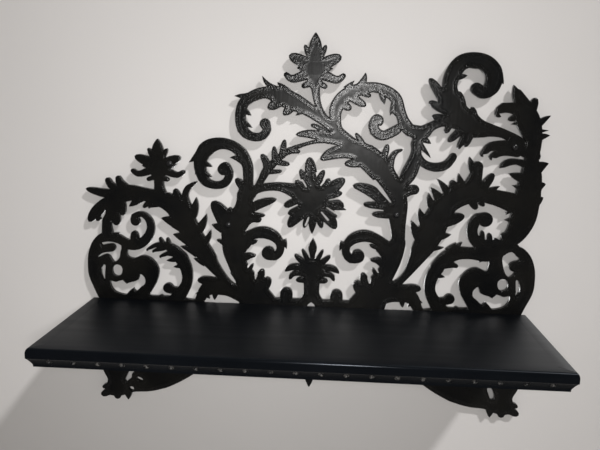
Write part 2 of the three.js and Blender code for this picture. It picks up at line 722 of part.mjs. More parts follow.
// Slits that part the branches and leaves from the main stems
function stemSlits() {
  return [
    patch([-125.5, 79], [-125.7, 70], [-123.5, 60], [-116, 46.5], [-105, 31.5], [-96.5, 26], [-98.5, 32.5],
      [-105.6, 43.3], [-111.2, 55], [-115.3, 68.6], [-118, 79]),
    patch([132.5, 102], [132, 90], [129.5, 75], [124.3, 58], [116.5, 38.5], [129.5, 49], [136, 64.5],
      [139.5, 78.5], [140.5, 92], [140, 102]),
    stem([87, 174.5, 6], [95, 165.5, 5.5], [102.5, 156.5, 4.2], [110, 147.2, 2]),
    stem([-278, 124, 1.8], [-283, 113, 5]),
  ];
}

// Rail behind the board, the swag that joins the lobes and the drop in the middle
function rail() {
  return [
    plain([-284, -3], [-284, -40], [287, -40], [287, -3]),
    patch([-130, -30], [-124, -72], [-80, -58], [-30, -62], [-4, -84], [DROP_AXIS, -92], [19, -84], [45, -62],
      [95, -58], [134, -72], [138, -30]),
    stem([DROP_AXIS, -80, 20], [DROP_AXIS, -98, 10], [DROP_AXIS, -107, 11], [DROP_AXIS, -117.5, 2]),
  ];
}

// The whole sheet: what is drawn, what is cut out, and what is laid over the cuts
function sheet() {
  const feet = foot();
  const footLeaves = footLeaf();
  const corners = corner();
  const apron = apronLobe();
  return [
    ...feet,
    ...mirrored(feet, FOOT_AXIS),
    ...footLeaves,
    ...mirrored(footLeaves, FOOT_LEAF_AXIS),
    ...corners,
    ...mirrored(corners, CORNER_AXIS),
    ...apron,
    ...mirrored(apron, APRON_AXIS),
    ...rail(),
    ...palmette(DROP_AXIS),
    ...sunflower(),
    ...fleur(4, 296, 1, 1),
    ...fleur(-204.5, 168, 0.92, 0.81),
    ...leftLowerScroll(),
    ...leftTopScroll(),
    ...leftBranch(),
    ...leftSpray(),
    ...leftStem(),
    ...leftScroll(),
    ...sprig(),
    ...upperLeftScroll(),
    ...upperRightScroll(),
    ...rightStem(),
    ...rightBridge(),
    ...rightTopScroll(),
    ...rightLeaf(),
    ...rightFronds(),
    ...rightBranch(),
    ...rightMidScroll(),
    ...rightLowerScroll(),
  ];
}

// The openings cut through the sheet
function sheetCuts() {
  return [
    leftCornerOpening(),
    rightCornerOpening(),
    ...cornerCuts(),
    ...mirrored(cornerCuts(), CORNER_AXIS),
    ...apronCuts(),
    ...sunflowerSlits(),
    ...stemSlits(),
    ...footSlits(),
    ...mirrored(footSlits(), FOOT_AXIS),
    lobe(DROP_AXIS, -3, DROP_AXIS, 5.5, 12, 0, 2),
  ];
}

const sheetX = (x) => (x * PANEL_WIDTH) / SHEET_COLUMN_COUNT;
const sheetZ = (z) => (z * PANEL_HEIGHT) / SHEET_ROW_COUNT;

// Outlines of the sheet as one flat solid of the panel's thickness
function slab(outlines, over = 0) {
  const solids = outlines.map((outline) => {
    const shape = new THREE.Shape(outline.map((p) => new THREE.Vector2(sheetX(p.x), sheetZ(p.y))));
    const flat = new THREE.ExtrudeGeometry(shape, { depth: PANEL_THICKNESS + 2 * over, bevelEnabled: false });
    flat.applyMatrix4(upright(panelBack + over));
    return solidOf(flat);
  });
  return wasm.Manifold.union(solids);
}

// The fret-cut panel with its screw holes
function backPanel() {
  const drawn = slab(sheet());
  const opened = drawn.subtract(slab(sheetCuts(), OVERRUN));
  const laidOver = [leftCornerCurl(), ...cornerTeeth(), ...mirrored(cornerTeeth(), CORNER_AXIS)];
  const from = panelFront - OVERRUN;
  const to = panelBack + OVERRUN;
  const wallHoles = wallScrewPlaces().map(([x, z]) => barY(WALL_SCREW_RADIUS + CLEARANCE, x, z, from, to));
  const rearHoles = rearScrewPlaces().map((x) =>
    barY(BOARD_SCREW_RADIUS + CLEARANCE, x, -SHELF_THICKNESS / 2, from, to),
  );
  const whole = opened.add(slab(laidOver)).asOriginal().simplify(EDGE_TOLERANCE);
  return whole.subtract(wasm.Manifold.union([...wallHoles, ...rearHoles]));
}

// Every screw that goes into the wall: those on show and those of the braces
function wallScrewPlaces() {
  return [...PANEL_SCREWS.map(([x, z]) => [sheetX(x), sheetZ(z)]), ...braceWallPlaces()];
}

// The middle of a brace across the shelf
const braceX = (side) => side * (SHELF_WIDTH / 2 - BRACE_INSET);

// Two screws in the upright leg of each brace
function braceWallPlaces() {
  const heights = BRACE_WALL_SHARES.map((share) => underBoard - share * BRACE_DROP);
  return [-1, 1].flatMap((side) => heights.map((z) => [braceX(side), z]));
}

// Screws from behind the panel into the back edge of the board
const rearScrewPlaces = () => [-1, 0, 1].map((side) => side * (SHELF_WIDTH / 2 - REAR_SCREW_INSET));

// A pan-head screw that goes in along +Y: its seat, and how deep it bites past it
function screwY(x, z, seat, bite, radius, headRadius, headHeight) {
  const point = POINT_RADII * radius;
  const shank = [new THREE.Vector2(0, -bite), new THREE.Vector2(radius, point - bite), new THREE.Vector2(radius, 0)];
  const profile = [...shank, new THREE.Vector2(headRadius, 0)];
  const rings = 2;
  for (let i = 0; i < rings; i++) {
    const angle = (Math.PI / 2) * (i / rings);
    const height = headHeight * (HEAD_RIM_SHARE + (1 - HEAD_RIM_SHARE) * Math.sin(angle));
    profile.push(new THREE.Vector2(headRadius * Math.cos(angle), height));
  }
  profile.push(new THREE.Vector2(0, headHeight));
  const screw = new THREE.LatheGeometry(profile, HOLE_FACES);
  screw.rotateX(Math.PI);
  screw.translate(x, seat, z);
  return solidOf(screw);
}

// Ring that keeps the panel off the wall
function spacer(x, z) {
  const ring = barY(SPACER_RADIUS, x, z, -STANDOFF, 0);
  return ring.subtract(barY(WALL_SCREW_RADIUS + CLEARANCE, x, z, -STANDOFF - OVERRUN, OVERRUN));
}

// The moulding's section: x is how far it stands out from the board, y is the height
function mouldingSection() {
  const shape = new THREE.Shape();
  const coveTop = -OVOLO_DROP - BAND_HEIGHT;
  const coveEnd = FOOT_HEIGHT - SHELF_THICKNESS;
  shape.moveTo(0, 0);
  shape.lineTo(MOULDING_WIDTH - OVOLO_RUN, 0);
  shape.absellipse(MOULDING_WIDTH - OVOLO_RUN, -OVOLO_DROP, OVOLO_RUN, OVOLO_DROP, Math.PI / 2, 0, true);
  shape.lineTo(MOULDING_WIDTH, coveTop);
  shape.absellipse(MOULDING_WIDTH, coveEnd, COVE_RUN, coveTop - coveEnd, Math.PI / 2, Math.PI, false);
  shape.lineTo(MOULDING_WIDTH - COVE_RUN, -SHELF_THICKNESS);
  shape.lineTo(0, -SHELF_THICKNESS);
  return shape;
}

// A square-ended run of moulding along Y from 0 to length, standing out to +X
function mouldingRun(length) {
  const settings = { depth: length, bevelEnabled: false, curveSegments: CURVE_PARTS };
  const run = new THREE.ExtrudeGeometry(mouldingSection(), settings);
  run.applyMatrix4(upright(length));
  return run;
}

// A block that cuts a mitre: everything on one side of the diagonal through a point
function mitreCut(x, y, towardX, towardY) {
  const reach = SHELF_WIDTH;
  const shape = new THREE.Shape([
    new THREE.Vector2(x - towardX * reach, y - towardY * reach),
    new THREE.Vector2(x + towardX * reach, y + towardY * reach),
    new THREE.Vector2(x + towardX * reach, y - towardY * reach),
  ]);
  const block = new THREE.ExtrudeGeometry(shape, { depth: 3 * SHELF_THICKNESS, bevelEnabled: false });
  block.translate(0, 0, -2 * SHELF_THICKNESS);
  return solidOf(block);
}

// Where the inner edges of the front and side mouldings meet
const mitreX = boardHalf + CLEARANCE / 2;
const mitreY = boardEdge - CLEARANCE / 2;

// The round cups along a moulding, as one solid to cut: places are their centres, a little behind its face
function cups(places) {
  return wasm.Manifold.union(
    places.map(([x, y]) => {
      const ball = new THREE.SphereGeometry(CUP_RADIUS, CUP_FACES, CUP_FACES - 1);
      ball.translate(x, y, -CUP_DROP);
      return solidOf(ball);
    }),
  );
}

// Offsets of a row of cups about its middle
const cupRow = (count) => Array.from({ length: count }, (_, i) => (i - (count - 1) / 2) * CUP_PITCH);

// The strip along the front, mitred at both ends
function frontMoulding() {
  const run = mouldingRun(SHELF_WIDTH);
  run.rotateZ(-Math.PI / 2);
  run.translate(-SHELF_WIDTH / 2, mitreY, 0);
  return solidOf(run)
    .subtract(mitreCut(mitreX - CLEARANCE, mitreY, 1, -1))
    .subtract(mitreCut(CLEARANCE - mitreX, mitreY, -1, -1))
    .subtract(cups(cupRow(CUP_COUNT).map((x) => [x, boardFront + CUP_INSET])));
}

// The strip along one end, mitred at the front and square at the panel
function sideMoulding(side) {
  const run = mouldingRun(SHELF_DEPTH);
  run.translate(mitreX, boardFront, 0);
  const count = Math.floor((SHELF_DEPTH - MOULDING_WIDTH) / CUP_PITCH);
  const middle = (boardBack + boardFront) / 2;
  const places = cupRow(count).map((y) => [SHELF_WIDTH / 2 - CUP_INSET, middle + y]);
  const right = solidOf(run).subtract(mitreCut(mitreX, mitreY, -1, 1)).subtract(cups(places));
  return side > 0 ? right : right.mirror([1, 0, 0]);
}

// The plain board inside the mouldings, with pilot holes for its screws
function board() {
  const width = 2 * boardHalf - CLEARANCE;
  const depth = boardBack - mitreY - CLEARANCE;
  const box = new THREE.BoxGeometry(width, depth, SHELF_THICKNESS);
  box.translate(0, boardBack - depth / 2, -SHELF_THICKNESS / 2);
  const radius = BOARD_SCREW_RADIUS + CLEARANCE;
  const rearEnd = boardBack - REAR_SCREW_BITE - PILOT_SPARE;
  const rear = rearScrewPlaces().map((x) => barY(radius, x, -SHELF_THICKNESS / 2, rearEnd, boardBack + OVERRUN));
  const underEnd = BOARD_SCREW_BITE + PILOT_SPARE - SHELF_THICKNESS;
  const under = braceBoardPlaces().map(([x, y]) => barZ(radius, x, y, underBoard - OVERRUN, underEnd));
  return solidOf(box).subtract(wasm.Manifold.union([...rear, ...under]));
}

// Two screws in the level leg of each brace
function braceBoardPlaces() {
  const depths = BRACE_BOARD_SHARES.map((share) => boardBack - share * BRACE_REACH);
  return [-1, 1].flatMap((side) => depths.map((y) => [braceX(side), y]));
}

// A bent strip of steel under the board, against the panel
function brace(side) {
  const outer = BRACE_BEND + BRACE_THICKNESS;
  const shape = new THREE.Shape();
  shape.moveTo(-BRACE_REACH, 0);
  shape.lineTo(-outer, 0);
  shape.absarc(-outer, -outer, outer, Math.PI / 2, 0, true);
  shape.lineTo(0, -BRACE_DROP);
  shape.lineTo(-BRACE_THICKNESS, -BRACE_DROP);
  shape.lineTo(-BRACE_THICKNESS, -outer);
  shape.absarc(-outer, -outer, BRACE_BEND, 0, Math.PI / 2, false);
  shape.lineTo(-BRACE_REACH, -BRACE_THICKNESS);
  const settings = { depth: BRACE_WIDTH, bevelEnabled: false, curveSegments: CURVE_PARTS };
  const strip = new THREE.ExtrudeGeometry(shape, settings);
  strip.applyMatrix4(
    new THREE.Matrix4().makeBasis(
      new THREE.Vector3(0, 1, 0),
      new THREE.Vector3(0, 0, 1),
      new THREE.Vector3(1, 0, 0),
    ),
  );
  strip.translate(braceX(side) - BRACE_WIDTH / 2, boardBack, underBoard);
  const through = BRACE_THICKNESS + OVERRUN;
  const wallHoles = braceWallPlaces().map(([x, z]) =>
    barY(WALL_SCREW_RADIUS + CLEARANCE, x, z, boardBack - through, boardBack + OVERRUN),
  );
  const boardHoles = braceBoardPlaces().map(([x, y]) =>
    barZ(BOARD_SCREW_RADIUS + CLEARANCE, x, y, underBoard - through, underBoard + OVERRUN),
  );
  return solidOf(strip).subtract(wasm.Manifold.union([...wallHoles, ...boardHoles]));
}

// A screw up into the board through the brace
function boardScrew(x, y) {
  const seat = underBoard - BRACE_THICKNESS - CLEARANCE;
  const bite = BOARD_SCREW_BITE - SHELF_THICKNESS - seat;
  return screwY(0, 0, 0, bite, BOARD_SCREW_RADIUS, BOARD_HEAD_RADIUS, BOARD_HEAD_HEIGHT)
    .rotate([90, 0, 0])
    .translate([x, y, seat]);
}

addPiece("back_panel", backPanel(), blackWood);
addPiece("shelf_board", board(), blackBoard);
addPiece("front_moulding", frontMoulding(), blackBoard);
addPiece("left_moulding", sideMoulding(-1), blackBoard);
addPiece("right_moulding", sideMoulding(1), blackBoard);

wallScrewPlaces().forEach(([x, z], i) => {
  const onBrace = i >= PANEL_SCREWS.length;
  const seat = panelFront - CLEARANCE - (onBrace ? BRACE_THICKNESS + CLEARANCE : 0);
  const bite = WALL_SCREW_BITE - seat;
  addPiece(
    "wall_screw_" + (i + 1),
    screwY(x, z, seat, bite, WALL_SCREW_RADIUS, WALL_HEAD_RADIUS, WALL_HEAD_HEIGHT),
    blackSteel,
  );
  addPiece("wall_spacer_" + (i + 1), spacer(x, z), nylon);
});

rearScrewPlaces().forEach((x, i) => {
  const seat = panelBack + CLEARANCE;
  const bite = seat - boardBack + REAR_SCREW_BITE;
  const screw = screwY(0, 0, 0, bite, BOARD_SCREW_RADIUS, BOARD_HEAD_RADIUS, BOARD_HEAD_HEIGHT);
  const turned = screw.rotate([0, 0, 180]).translate([x, seat, -SHELF_THICKNESS / 2]);
  addPiece("rear_screw_" + (i + 1), turned, zincSteel);
});

[-1, 1].forEach((side) => addPiece(side < 0 ? "left_brace" : "right_brace", brace(side), blackSteel));
braceBoardPlaces().forEach(([x, y], i) => addPiece("brace_screw_" + (i + 1), boardScrew(x, y), zincSteel));

export default root;
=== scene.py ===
import math

import bmesh
import bpy
import mathutils
from mathutils import Matrix, Vector


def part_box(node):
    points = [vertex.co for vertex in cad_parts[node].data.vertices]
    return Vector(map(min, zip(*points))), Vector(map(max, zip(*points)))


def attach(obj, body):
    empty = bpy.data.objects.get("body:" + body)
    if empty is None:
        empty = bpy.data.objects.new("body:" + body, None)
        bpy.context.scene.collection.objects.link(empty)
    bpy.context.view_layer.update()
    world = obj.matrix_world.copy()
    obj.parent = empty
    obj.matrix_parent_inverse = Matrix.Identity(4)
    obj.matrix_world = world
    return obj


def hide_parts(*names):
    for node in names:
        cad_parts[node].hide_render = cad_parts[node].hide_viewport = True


# A black painted wall shelf with a fret-cut back panel. Metres, the wall is Y = 0, the front faces -Y.

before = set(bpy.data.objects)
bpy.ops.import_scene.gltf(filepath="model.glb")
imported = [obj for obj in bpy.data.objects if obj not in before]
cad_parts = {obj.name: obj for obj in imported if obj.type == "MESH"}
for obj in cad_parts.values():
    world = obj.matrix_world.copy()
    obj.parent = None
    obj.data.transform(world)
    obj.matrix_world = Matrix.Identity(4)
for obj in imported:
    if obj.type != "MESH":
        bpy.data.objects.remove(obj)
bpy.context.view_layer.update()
print("frame loaded:", len(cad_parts), "nodes")


# Small helpers. A normal whose share along an axis is over facing counts as facing that way

facing = 0.9


def near(first, second, reach=1e-6):
    return abs(first - second) < reach


def deselectAll():
    for item in list(bpy.context.selected_objects):
        item.select_set(False)


def workOn(piece):
    deselectAll()
    piece.select_set(True)
    bpy.context.view_layer.objects.active = piece


def applyPlace(piece):
    workOn(piece)
    bpy.ops.object.transform_apply(location=True, rotation=True, scale=True)


def applyModifiers(piece):
    workOn(piece)
    for modifier in list(piece.modifiers):
        bpy.ops.object.modifier_apply(modifier=modifier.name)


def cutWith(piece, cutter):
    modifier = piece.modifiers.new("cut", "BOOLEAN")
    modifier.solver = "EXACT"
    modifier.object = cutter
    applyModifiers(piece)
    bpy.data.objects.remove(cutter)


def drillHole(piece, radius, place, axis, length):
    # A hole along Y or Z, half of its length to each side of the place
    turn = (math.pi / 2 if axis == "Y" else 0, 0, 0)
    deselectAll()
    bpy.ops.mesh.primitive_cylinder_add(
        vertices=24, radius=radius, depth=length, location=place, rotation=turn
    )
    drill = bpy.context.object
    applyPlace(drill)
    cutWith(piece, drill)


def addBevel(piece, width):
    modifier = piece.modifiers.new("softEdges", "BEVEL")
    modifier.width = width
    modifier.segments = 2
    modifier.limit_method = "ANGLE"
    modifier.angle_limit = math.radians(50)
    applyModifiers(piece)


def smoothed(piece, angle=35):
    workOn(piece)
    bpy.ops.object.shade_smooth_by_angle(angle=math.radians(angle))


def joined(pieces, name):
    deselectAll()
    for piece in pieces:
        piece.select_set(True)
    bpy.context.view_layer.objects.active = pieces[0]
    bpy.ops.object.join()
    whole = bpy.context.view_layer.objects.active
    whole.name = name
    return whole


def copyTo(master, name, matrix):
    # The copy has a mesh of its own, and the matrix moves its vertices
    piece = bpy.data.objects.new(name, master.data.copy())
    bpy.context.scene.collection.objects.link(piece)
    piece.data.transform(matrix)
    return piece


def centreOf(node):
    low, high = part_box(node)
    return (low + high) / 2


def selectFaces(piece, test):
    # In edit mode: selects the faces whose centre and normal pass the test
    bm = bmesh.from_edit_mesh(piece.data)
    bm.select_mode = {"FACE"}
    for face in bm.faces:
        face.select_set(bool(test(face.calc_center_median(), face.normal)))
    bm.select_flush_mode()
    bmesh.update_edit_mesh(piece.data)


def selectEdges(piece, test):
    # In edit mode: selects the edges whose two ends pass the test
    bm = bmesh.from_edit_mesh(piece.data)
    bm.select_mode = {"EDGE"}
    for edge in bm.edges:
        edge.select_set(bool(test(edge.verts[0].co, edge.verts[1].co)))
    bm.select_flush_mode()
    bmesh.update_edit_mesh(piece.data)


def finishPiece(piece, slot, material, *nodes):
    # A piece with paints of its own keeps them
    if not piece.data.materials:
        piece.data.materials.append(material)
    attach(piece, "root")
    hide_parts(*nodes)


# Materials

def newMaterial(name, colour, roughness, metallic=0.0, specular=0.5):
    material = bpy.data.materials.new(name)
    material.use_nodes = True
    shader = material.node_tree.nodes["Principled BSDF"]
    shader.inputs["Base Color"].default_value = (*colour, 1)
    shader.inputs["Roughness"].default_value = roughness
    shader.inputs["Metallic"].default_value = metallic
    shader.inputs["Specular IOR Level"].default_value = specular
    return material, shader


def addNode(material, kind, **settings):
    node = material.node_tree.nodes.new(kind)
    for key, value in settings.items():
        if key in node.inputs:
            node.inputs[key].default_value = value
        else:
            setattr(node, key, value)
    return node


def link(material, source, target):
    material.node_tree.links.new(source, target)


def pattern(material, scale, detail=4.0, roughness=0.55, stretch=(1, 1, 1)):
    # Noise in the object's own coordinates: scale is in repeats per metre
    place = addNode(material, "ShaderNodeTexCoord")
    mapping = addNode(material, "ShaderNodeMapping", Scale=stretch)
    noise = addNode(material, "ShaderNodeTexNoise", Scale=scale, Detail=detail, Roughness=roughness)
    link(material, place.outputs["Object"], mapping.inputs["Vector"])
    link(material, mapping.outputs["Vector"], noise.inputs["Vector"])
    return noise.outputs["Fac"]


def blendColours(material, factor, low, high, start=0.35, end=0.65):
    ramp = addNode(material, "ShaderNodeValToRGB")
    ramp.color_ramp.elements[0].position = start
    ramp.color_ramp.elements[0].color = (*low, 1)
    ramp.color_ramp.elements[1].position = end
    ramp.color_ramp.elements[1].color = (*high, 1)
    link(material, factor, ramp.inputs["Fac"])
    return ramp.outputs["Color"]


def spread(material, factor, low, high, start=0.3, end=0.7):
    span = addNode(material, "ShaderNodeMapRange")
    span.inputs["From Min"].default_value = start
    span.inputs["From Max"].default_value = end
    span.inputs["To Min"].default_value = low
    span.inputs["To Max"].default_value = high
    link(material, factor, span.inputs["Value"])
    return span.outputs["Result"]


def between(material, axis, start, end):
    # 0 to 1 along one of the object's own axes
    place = addNode(material, "ShaderNodeTexCoord")
    axes = addNode(material, "ShaderNodeSeparateXYZ")
    link(material, place.outputs["Object"], axes.inputs["Vector"])
    return spread(material, axes.outputs[axis], 0, 1, start, end)


def blended(material, share, first, second):
    mix = addNode(material, "ShaderNodeMix", data_type="FLOAT")
    link(material, share, mix.inputs[0])
    link(material, first, mix.inputs[2])
    link(material, second, mix.inputs[3])
    return mix.outputs[0]


def multiplied(material, first, second):
    product = addNode(material, "ShaderNodeMath", operation="MULTIPLY")
    link(material, first, product.inputs[0])
    link(material, second, product.inputs[1])
    return product.outputs["Value"]


def addBumps(material, shader, *layers):
    # Each layer is a height, its strength and its depth in metres
    last = None
    for height, strength, depth in layers:
        bump = addNode(material, "ShaderNodeBump", Strength=strength, Distance=depth)
        link(material, height, bump.inputs["Height"])
        if last:
            link(material, last, bump.inputs["Normal"])
        last = bump.outputs["Normal"]
    link(material, last, shader.inputs["Normal"])


# The paints: what is given per metre is how often a pattern repeats, and depths are in metres. The plain
# colour and roughness stand on the shader's own sockets, and patterns are linked over them

panelPaint = {
    "dark": (0.0028, 0.0030, 0.0033),
    "light": (0.0058, 0.0056, 0.0050),
    "roughness": 0.3,
    "smoothSpecular": 0.09,
    "groundSpecular": 0.25,
    "smoothRoughness": (0.27, 0.35),
    "groundRoughness": (0.15, 0.21),
    "groundStarts": (0.00001, 0.00005),
    "cloudPerMetre": 22,
    "patchPerMetre": 120,
    "grainPerMetre": 260,
    "grainStrength": 0.5,
    "grainDepth": 0.00012,
    "speckPerMetre": 430,
    "speckShare": (0.16, 0.95),
    "speckStrength": 0.8,
    "speckDepth": 0.00034,
}


def makePanelPaint(paint):
    # Smooth on the raised rims and stems, stippled on the sunk ground between them
    material, shader = newMaterial(
        "panelPaint", paint["dark"], paint["roughness"], specular=paint["smoothSpecular"]
    )
    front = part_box("back_panel")[0].y
    ground = between(material, "Y", *(front + depth for depth in paint["groundStarts"]))
    cloud = pattern(material, paint["cloudPerMetre"], detail=5)
    link(material, blendColours(material, cloud, paint["dark"], paint["light"]), shader.inputs["Base Color"])
    worn = pattern(material, paint["patchPerMetre"], detail=6)
    smooth = spread(material, worn, *paint["smoothRoughness"])
    stippled = spread(material, worn, *paint["groundRoughness"])
    link(material, blended(material, ground, smooth, stippled), shader.inputs["Roughness"])
    speck = pattern(material, paint["speckPerMetre"], detail=2, roughness=0.7)
    flecks = multiplied(material, ground, spread(material, speck, 0, 1, *paint["speckShare"]))
    gloss = spread(material, flecks, paint["smoothSpecular"], paint["groundSpecular"], 0, 1)
    link(material, gloss, shader.inputs["Specular IOR Level"])
    grain = pattern(material, paint["grainPerMetre"], detail=3, stretch=(1, 1, 0.12))
    stipple = multiplied(material, speck, ground)
    addBumps(
        material,
        shader,
        (grain, paint["grainStrength"], paint["grainDepth"]),
        (stipple, paint["speckStrength"], paint["speckDepth"]),
    )
    return material


boardPaint = {
    "dark": (0.0022, 0.0028, 0.0038),
    "light": (0.0034, 0.0042, 0.0056),
    "tint": (0.80, 0.88, 1.0, 1.0),
    "roughness": 0.45,
    "topSpecular": 0.16,
    "faceSpecular": 0.06,
    "topRoughness": (0.40, 0.48),
    "faceRoughness": (0.12, 0.20),
    "faceStarts": (-0.0016, -0.0004),
    "cloudPerMetre": 9,
    "streakPerMetre": 55,
    "peelPerMetre": 700,
    "peelStrength": 0.35,
    "brushPerMetre": 420,
    "brushStrength": 0.25,
    "coatDepth": 0.00003,
}


def makeBoardPaint(paint):
    # Satin on the flat top, smoother but less bright down the shaped edge
    material, shader = newMaterial(
        "boardPaint", paint["dark"], paint["roughness"], specular=paint["topSpecular"]
    )
    shader.inputs["Specular Tint"].default_value = paint["tint"]
    top = between(material, "Z", *paint["faceStarts"])
    gloss = spread(material, top, paint["faceSpecular"], paint["topSpecular"], 0, 1)
    link(material, gloss, shader.inputs["Specular IOR Level"])
    cloud = pattern(material, paint["cloudPerMetre"], detail=4)
    link(material, blendColours(material, cloud, paint["dark"], paint["light"]), shader.inputs["Base Color"])
    streak = pattern(material, paint["streakPerMetre"], detail=5, stretch=(0.12, 1, 1))
    face = spread(material, streak, *paint["faceRoughness"])
    satin = spread(material, streak, *paint["topRoughness"])
    link(material, blended(material, top, face, satin), shader.inputs["Roughness"])
    peel = pattern(material, paint["peelPerMetre"], detail=2)
    brush = pattern(material, paint["brushPerMetre"], detail=3, stretch=(0.05, 1, 1))
    depth = paint["coatDepth"]
    addBumps(material, shader, (peel, paint["peelStrength"], depth), (brush, paint["brushStrength"], depth))
    return material


cupPaint = {
    "dark": boardPaint["dark"],
    # Pale colour of the painted highlight flecks in the cups
    "paintedGlint": (0.085, 0.082, 0.077),
    "specular": 0.3,
    "roughness": 0.3,
    "roughnessRange": (0.22, 0.5),
    "patchPerMetre": 420,
    "glintShare": (0.46, 0.58),
    "fleckStrength": 0.4,
    "fleckDepth": 0.00005,
}


def makeCupPaint(paint):
    # Glossy paint in the cups, with small pale flecks blended in as a painted highlight for the glints in the
    # hollows
    material, shader = newMaterial("cupPaint", paint["dark"], paint["roughness"], specular=paint["specular"])
    fleck = pattern(material, paint["patchPerMetre"], detail=3)
    # Pale flecks blended into the dark paint: a painted highlight that stands for the cups' glints
    tone = blendColours(material, fleck, paint["dark"], paint["paintedGlint"], *paint["glintShare"])
    link(material, tone, shader.inputs["Base Color"])
    link(material, spread(material, fleck, *paint["roughnessRange"]), shader.inputs["Roughness"])
    addBumps(material, shader, (fleck, paint["fleckStrength"], paint["fleckDepth"]))
    return material


blackFinish = {
    "colour": (0.010, 0.010, 0.011),
    "metallic": 0.0,
    "specular": 0.35,
    "roughness": 0.28,
    "scratchStrength": 0.3,
}

zincFinish = {
    "colour": (0.55, 0.56, 0.57),
    "metallic": 0.9,
    "specular": 0.5,
    "roughness": 0.32,
    "scratchStrength": 0.4,
}

steelSurface = {
    "darkShare": 0.75,
    "roughnessChange": (-0.08, 0.12),
    "mottlePerMetre": 700,
    "scratchPerMetre": 2200,
    "scratchDepth": 0.00002,
}


def makeSteel(name, finish, surface):
    # Mottled, with fine scratches along one way
    colour = finish["colour"]
    material, shader = newMaterial(
        name, colour, finish["roughness"], finish["metallic"], finish["specular"]
    )
    mottle = pattern(material, surface["mottlePerMetre"], detail=4)
    dark = tuple(c * surface["darkShare"] for c in colour)
    link(material, blendColours(material, mottle, dark, colour), shader.inputs["Base Color"])
    ends = [finish["roughness"] + change for change in surface["roughnessChange"]]
    link(material, spread(material, mottle, *ends), shader.inputs["Roughness"])
    scratch = pattern(material, surface["scratchPerMetre"], stretch=(1, 1, 0.1))
    addBumps(material, shader, (scratch, finish["scratchStrength"], surface["scratchDepth"]))
    return material


nylon = {
    "colour": (0.02, 0.02, 0.021),
    "dark": (0.018, 0.018, 0.019),
    "light": (0.027, 0.027, 0.028),
    "roughness": 0.55,
    "roughnessRange": (0.48, 0.62),
    "finePerMetre": 1500,
    "fineStrength": 0.3,
    "fineDepth": 0.00003,
}


def makeNylon(spec):
    material, shader = newMaterial("nylon", spec["colour"], spec["roughness"])
    fine = pattern(material, spec["finePerMetre"], detail=2)
    link(material, blendColours(material, fine, spec["dark"], spec["light"]), shader.inputs["Base Color"])
    link(material, spread(material, fine, *spec["roughnessRange"]), shader.inputs["Roughness"])
    addBumps(material, shader, (fine, spec["fineStrength"], spec["fineDepth"]))
    return material


panelMaterial = makePanelPaint(panelPaint)
boardMaterial = makeBoardPaint(boardPaint)
cupMaterial = makeCupPaint(cupPaint)
blackSteel = makeSteel("blackSteel", blackFinish, steelSurface)
zincSteel = makeSteel("zincSteel", zincFinish, steelSurface)
nylonMaterial = makeNylon(nylon)
print("materials made")


# Fret-cut back panel: the node's outline, drawn finer, with edges rounded by sanding and paint. Each ring is
# a distance from the outline and how far the front is sunk there. Outlines shorter than boreRim are the
# screws' holes, which have no rings

fretPanel = {
    "step": 0.0022,
    "cornerAngle": 34,
    "boreAngle": 60,
    "boreRim": 0.02,
    "treeStep": 0.0003,
    "ringShare": 0.93,
    "smoothUnder": 40,
    "onOutline": 0.00001,
    "edgeDrop": 0.0004,
    "rings": (
        (0.0003, 0.00007),
        (0.0006, 0.0),
        (0.0013, 0.0),
        (0.0021, 0.00006),
        (0.0042, 0.00006),
        (0.0056, 0.00004),
        (0.0070, 0.00002),
        (0.0086, 0.0),
    ),
}


def frontLoops(node, depth, weld=1e-6, slack=1e-4):
    # The closed outlines of the node's front face, each as a list of (x, z)
    bm = bmesh.new()
    bm.from_mesh(node.data)
    bmesh.ops.remove_doubles(bm, verts=bm.verts, dist=weld)
    onFront = [f for f in bm.faces if f.normal.y < -facing and near(f.calc_center_median().y, depth, slack)]
    front = set(onFront)
    following = {}
    for face in onFront:
        for loop in face.loops:
            if not any(other in front for other in loop.edge.link_faces if other is not face):
                following[loop.vert] = loop.link_loop_next.vert
    loops = []
    while following:
        start = next(iter(following))
        chain = []
        at = start
        while at in following:
            chain.append(Vector((at.co.x, at.co.z)))
            at = following.pop(at)
        loops.append(chain)
    bm.free()
    return loops


def turnAt(before, at, after):
    return abs((at - before).angle_signed(after - at, 0.0))


def lengthAround(chain):
    return sum((after - at).length for at, after in zip(chain, chain[1:] + chain[:1]))


def pulled(before, after, span, tiny=1e-9):
    # How a smooth curve runs at the point between two others, for a stretch of this length
    way = after - before
    return way * (span / max(way.length, tiny))


def finerLoop(chain, step, cornerAngle):
    # Adds points along a smooth curve, and keeps the corners where the outline turns sharply
    count = len(chain)
    limit = math.radians(cornerAngle)
    corner = [turnAt(chain[i - 1], chain[i], chain[(i + 1) % count]) > limit for i in range(count)]
    points = []
    for i in range(count):
        here, there = chain[i], chain[(i + 1) % count]
        span = (there - here).length
        leaving = there - here if corner[i] else pulled(chain[i - 1], there, span)
        arriving = there - here if corner[(i + 1) % count] else pulled(here, chain[(i + 2) % count], span)
        parts = max(1, round(span / step))
        for k in range(parts):
            t = k / parts
            points.append(
                (2 * t ** 3 - 3 * t ** 2 + 1) * here
                + (t ** 3 - 2 * t ** 2 + t) * leaving
                + (-2 * t ** 3 + 3 * t ** 2) * there
                + (t ** 3 - t ** 2) * arriving
            )
    return points


def outlineTree(loops, step):
    # Tells how far a place is from the nearest outline
    dense = []
    for points in loops:
        for at, after in zip(points, points[1:] + points[:1]):
            parts = max(1, round((after - at).length / step))
            dense.extend(at.lerp(after, k / parts) for k in range(parts))
    tree = mathutils.kdtree.KDTree(len(dense))
    for i, at in enumerate(dense):
        tree.insert((at.x, at.y, 0), i)
    tree.balance()
    return tree


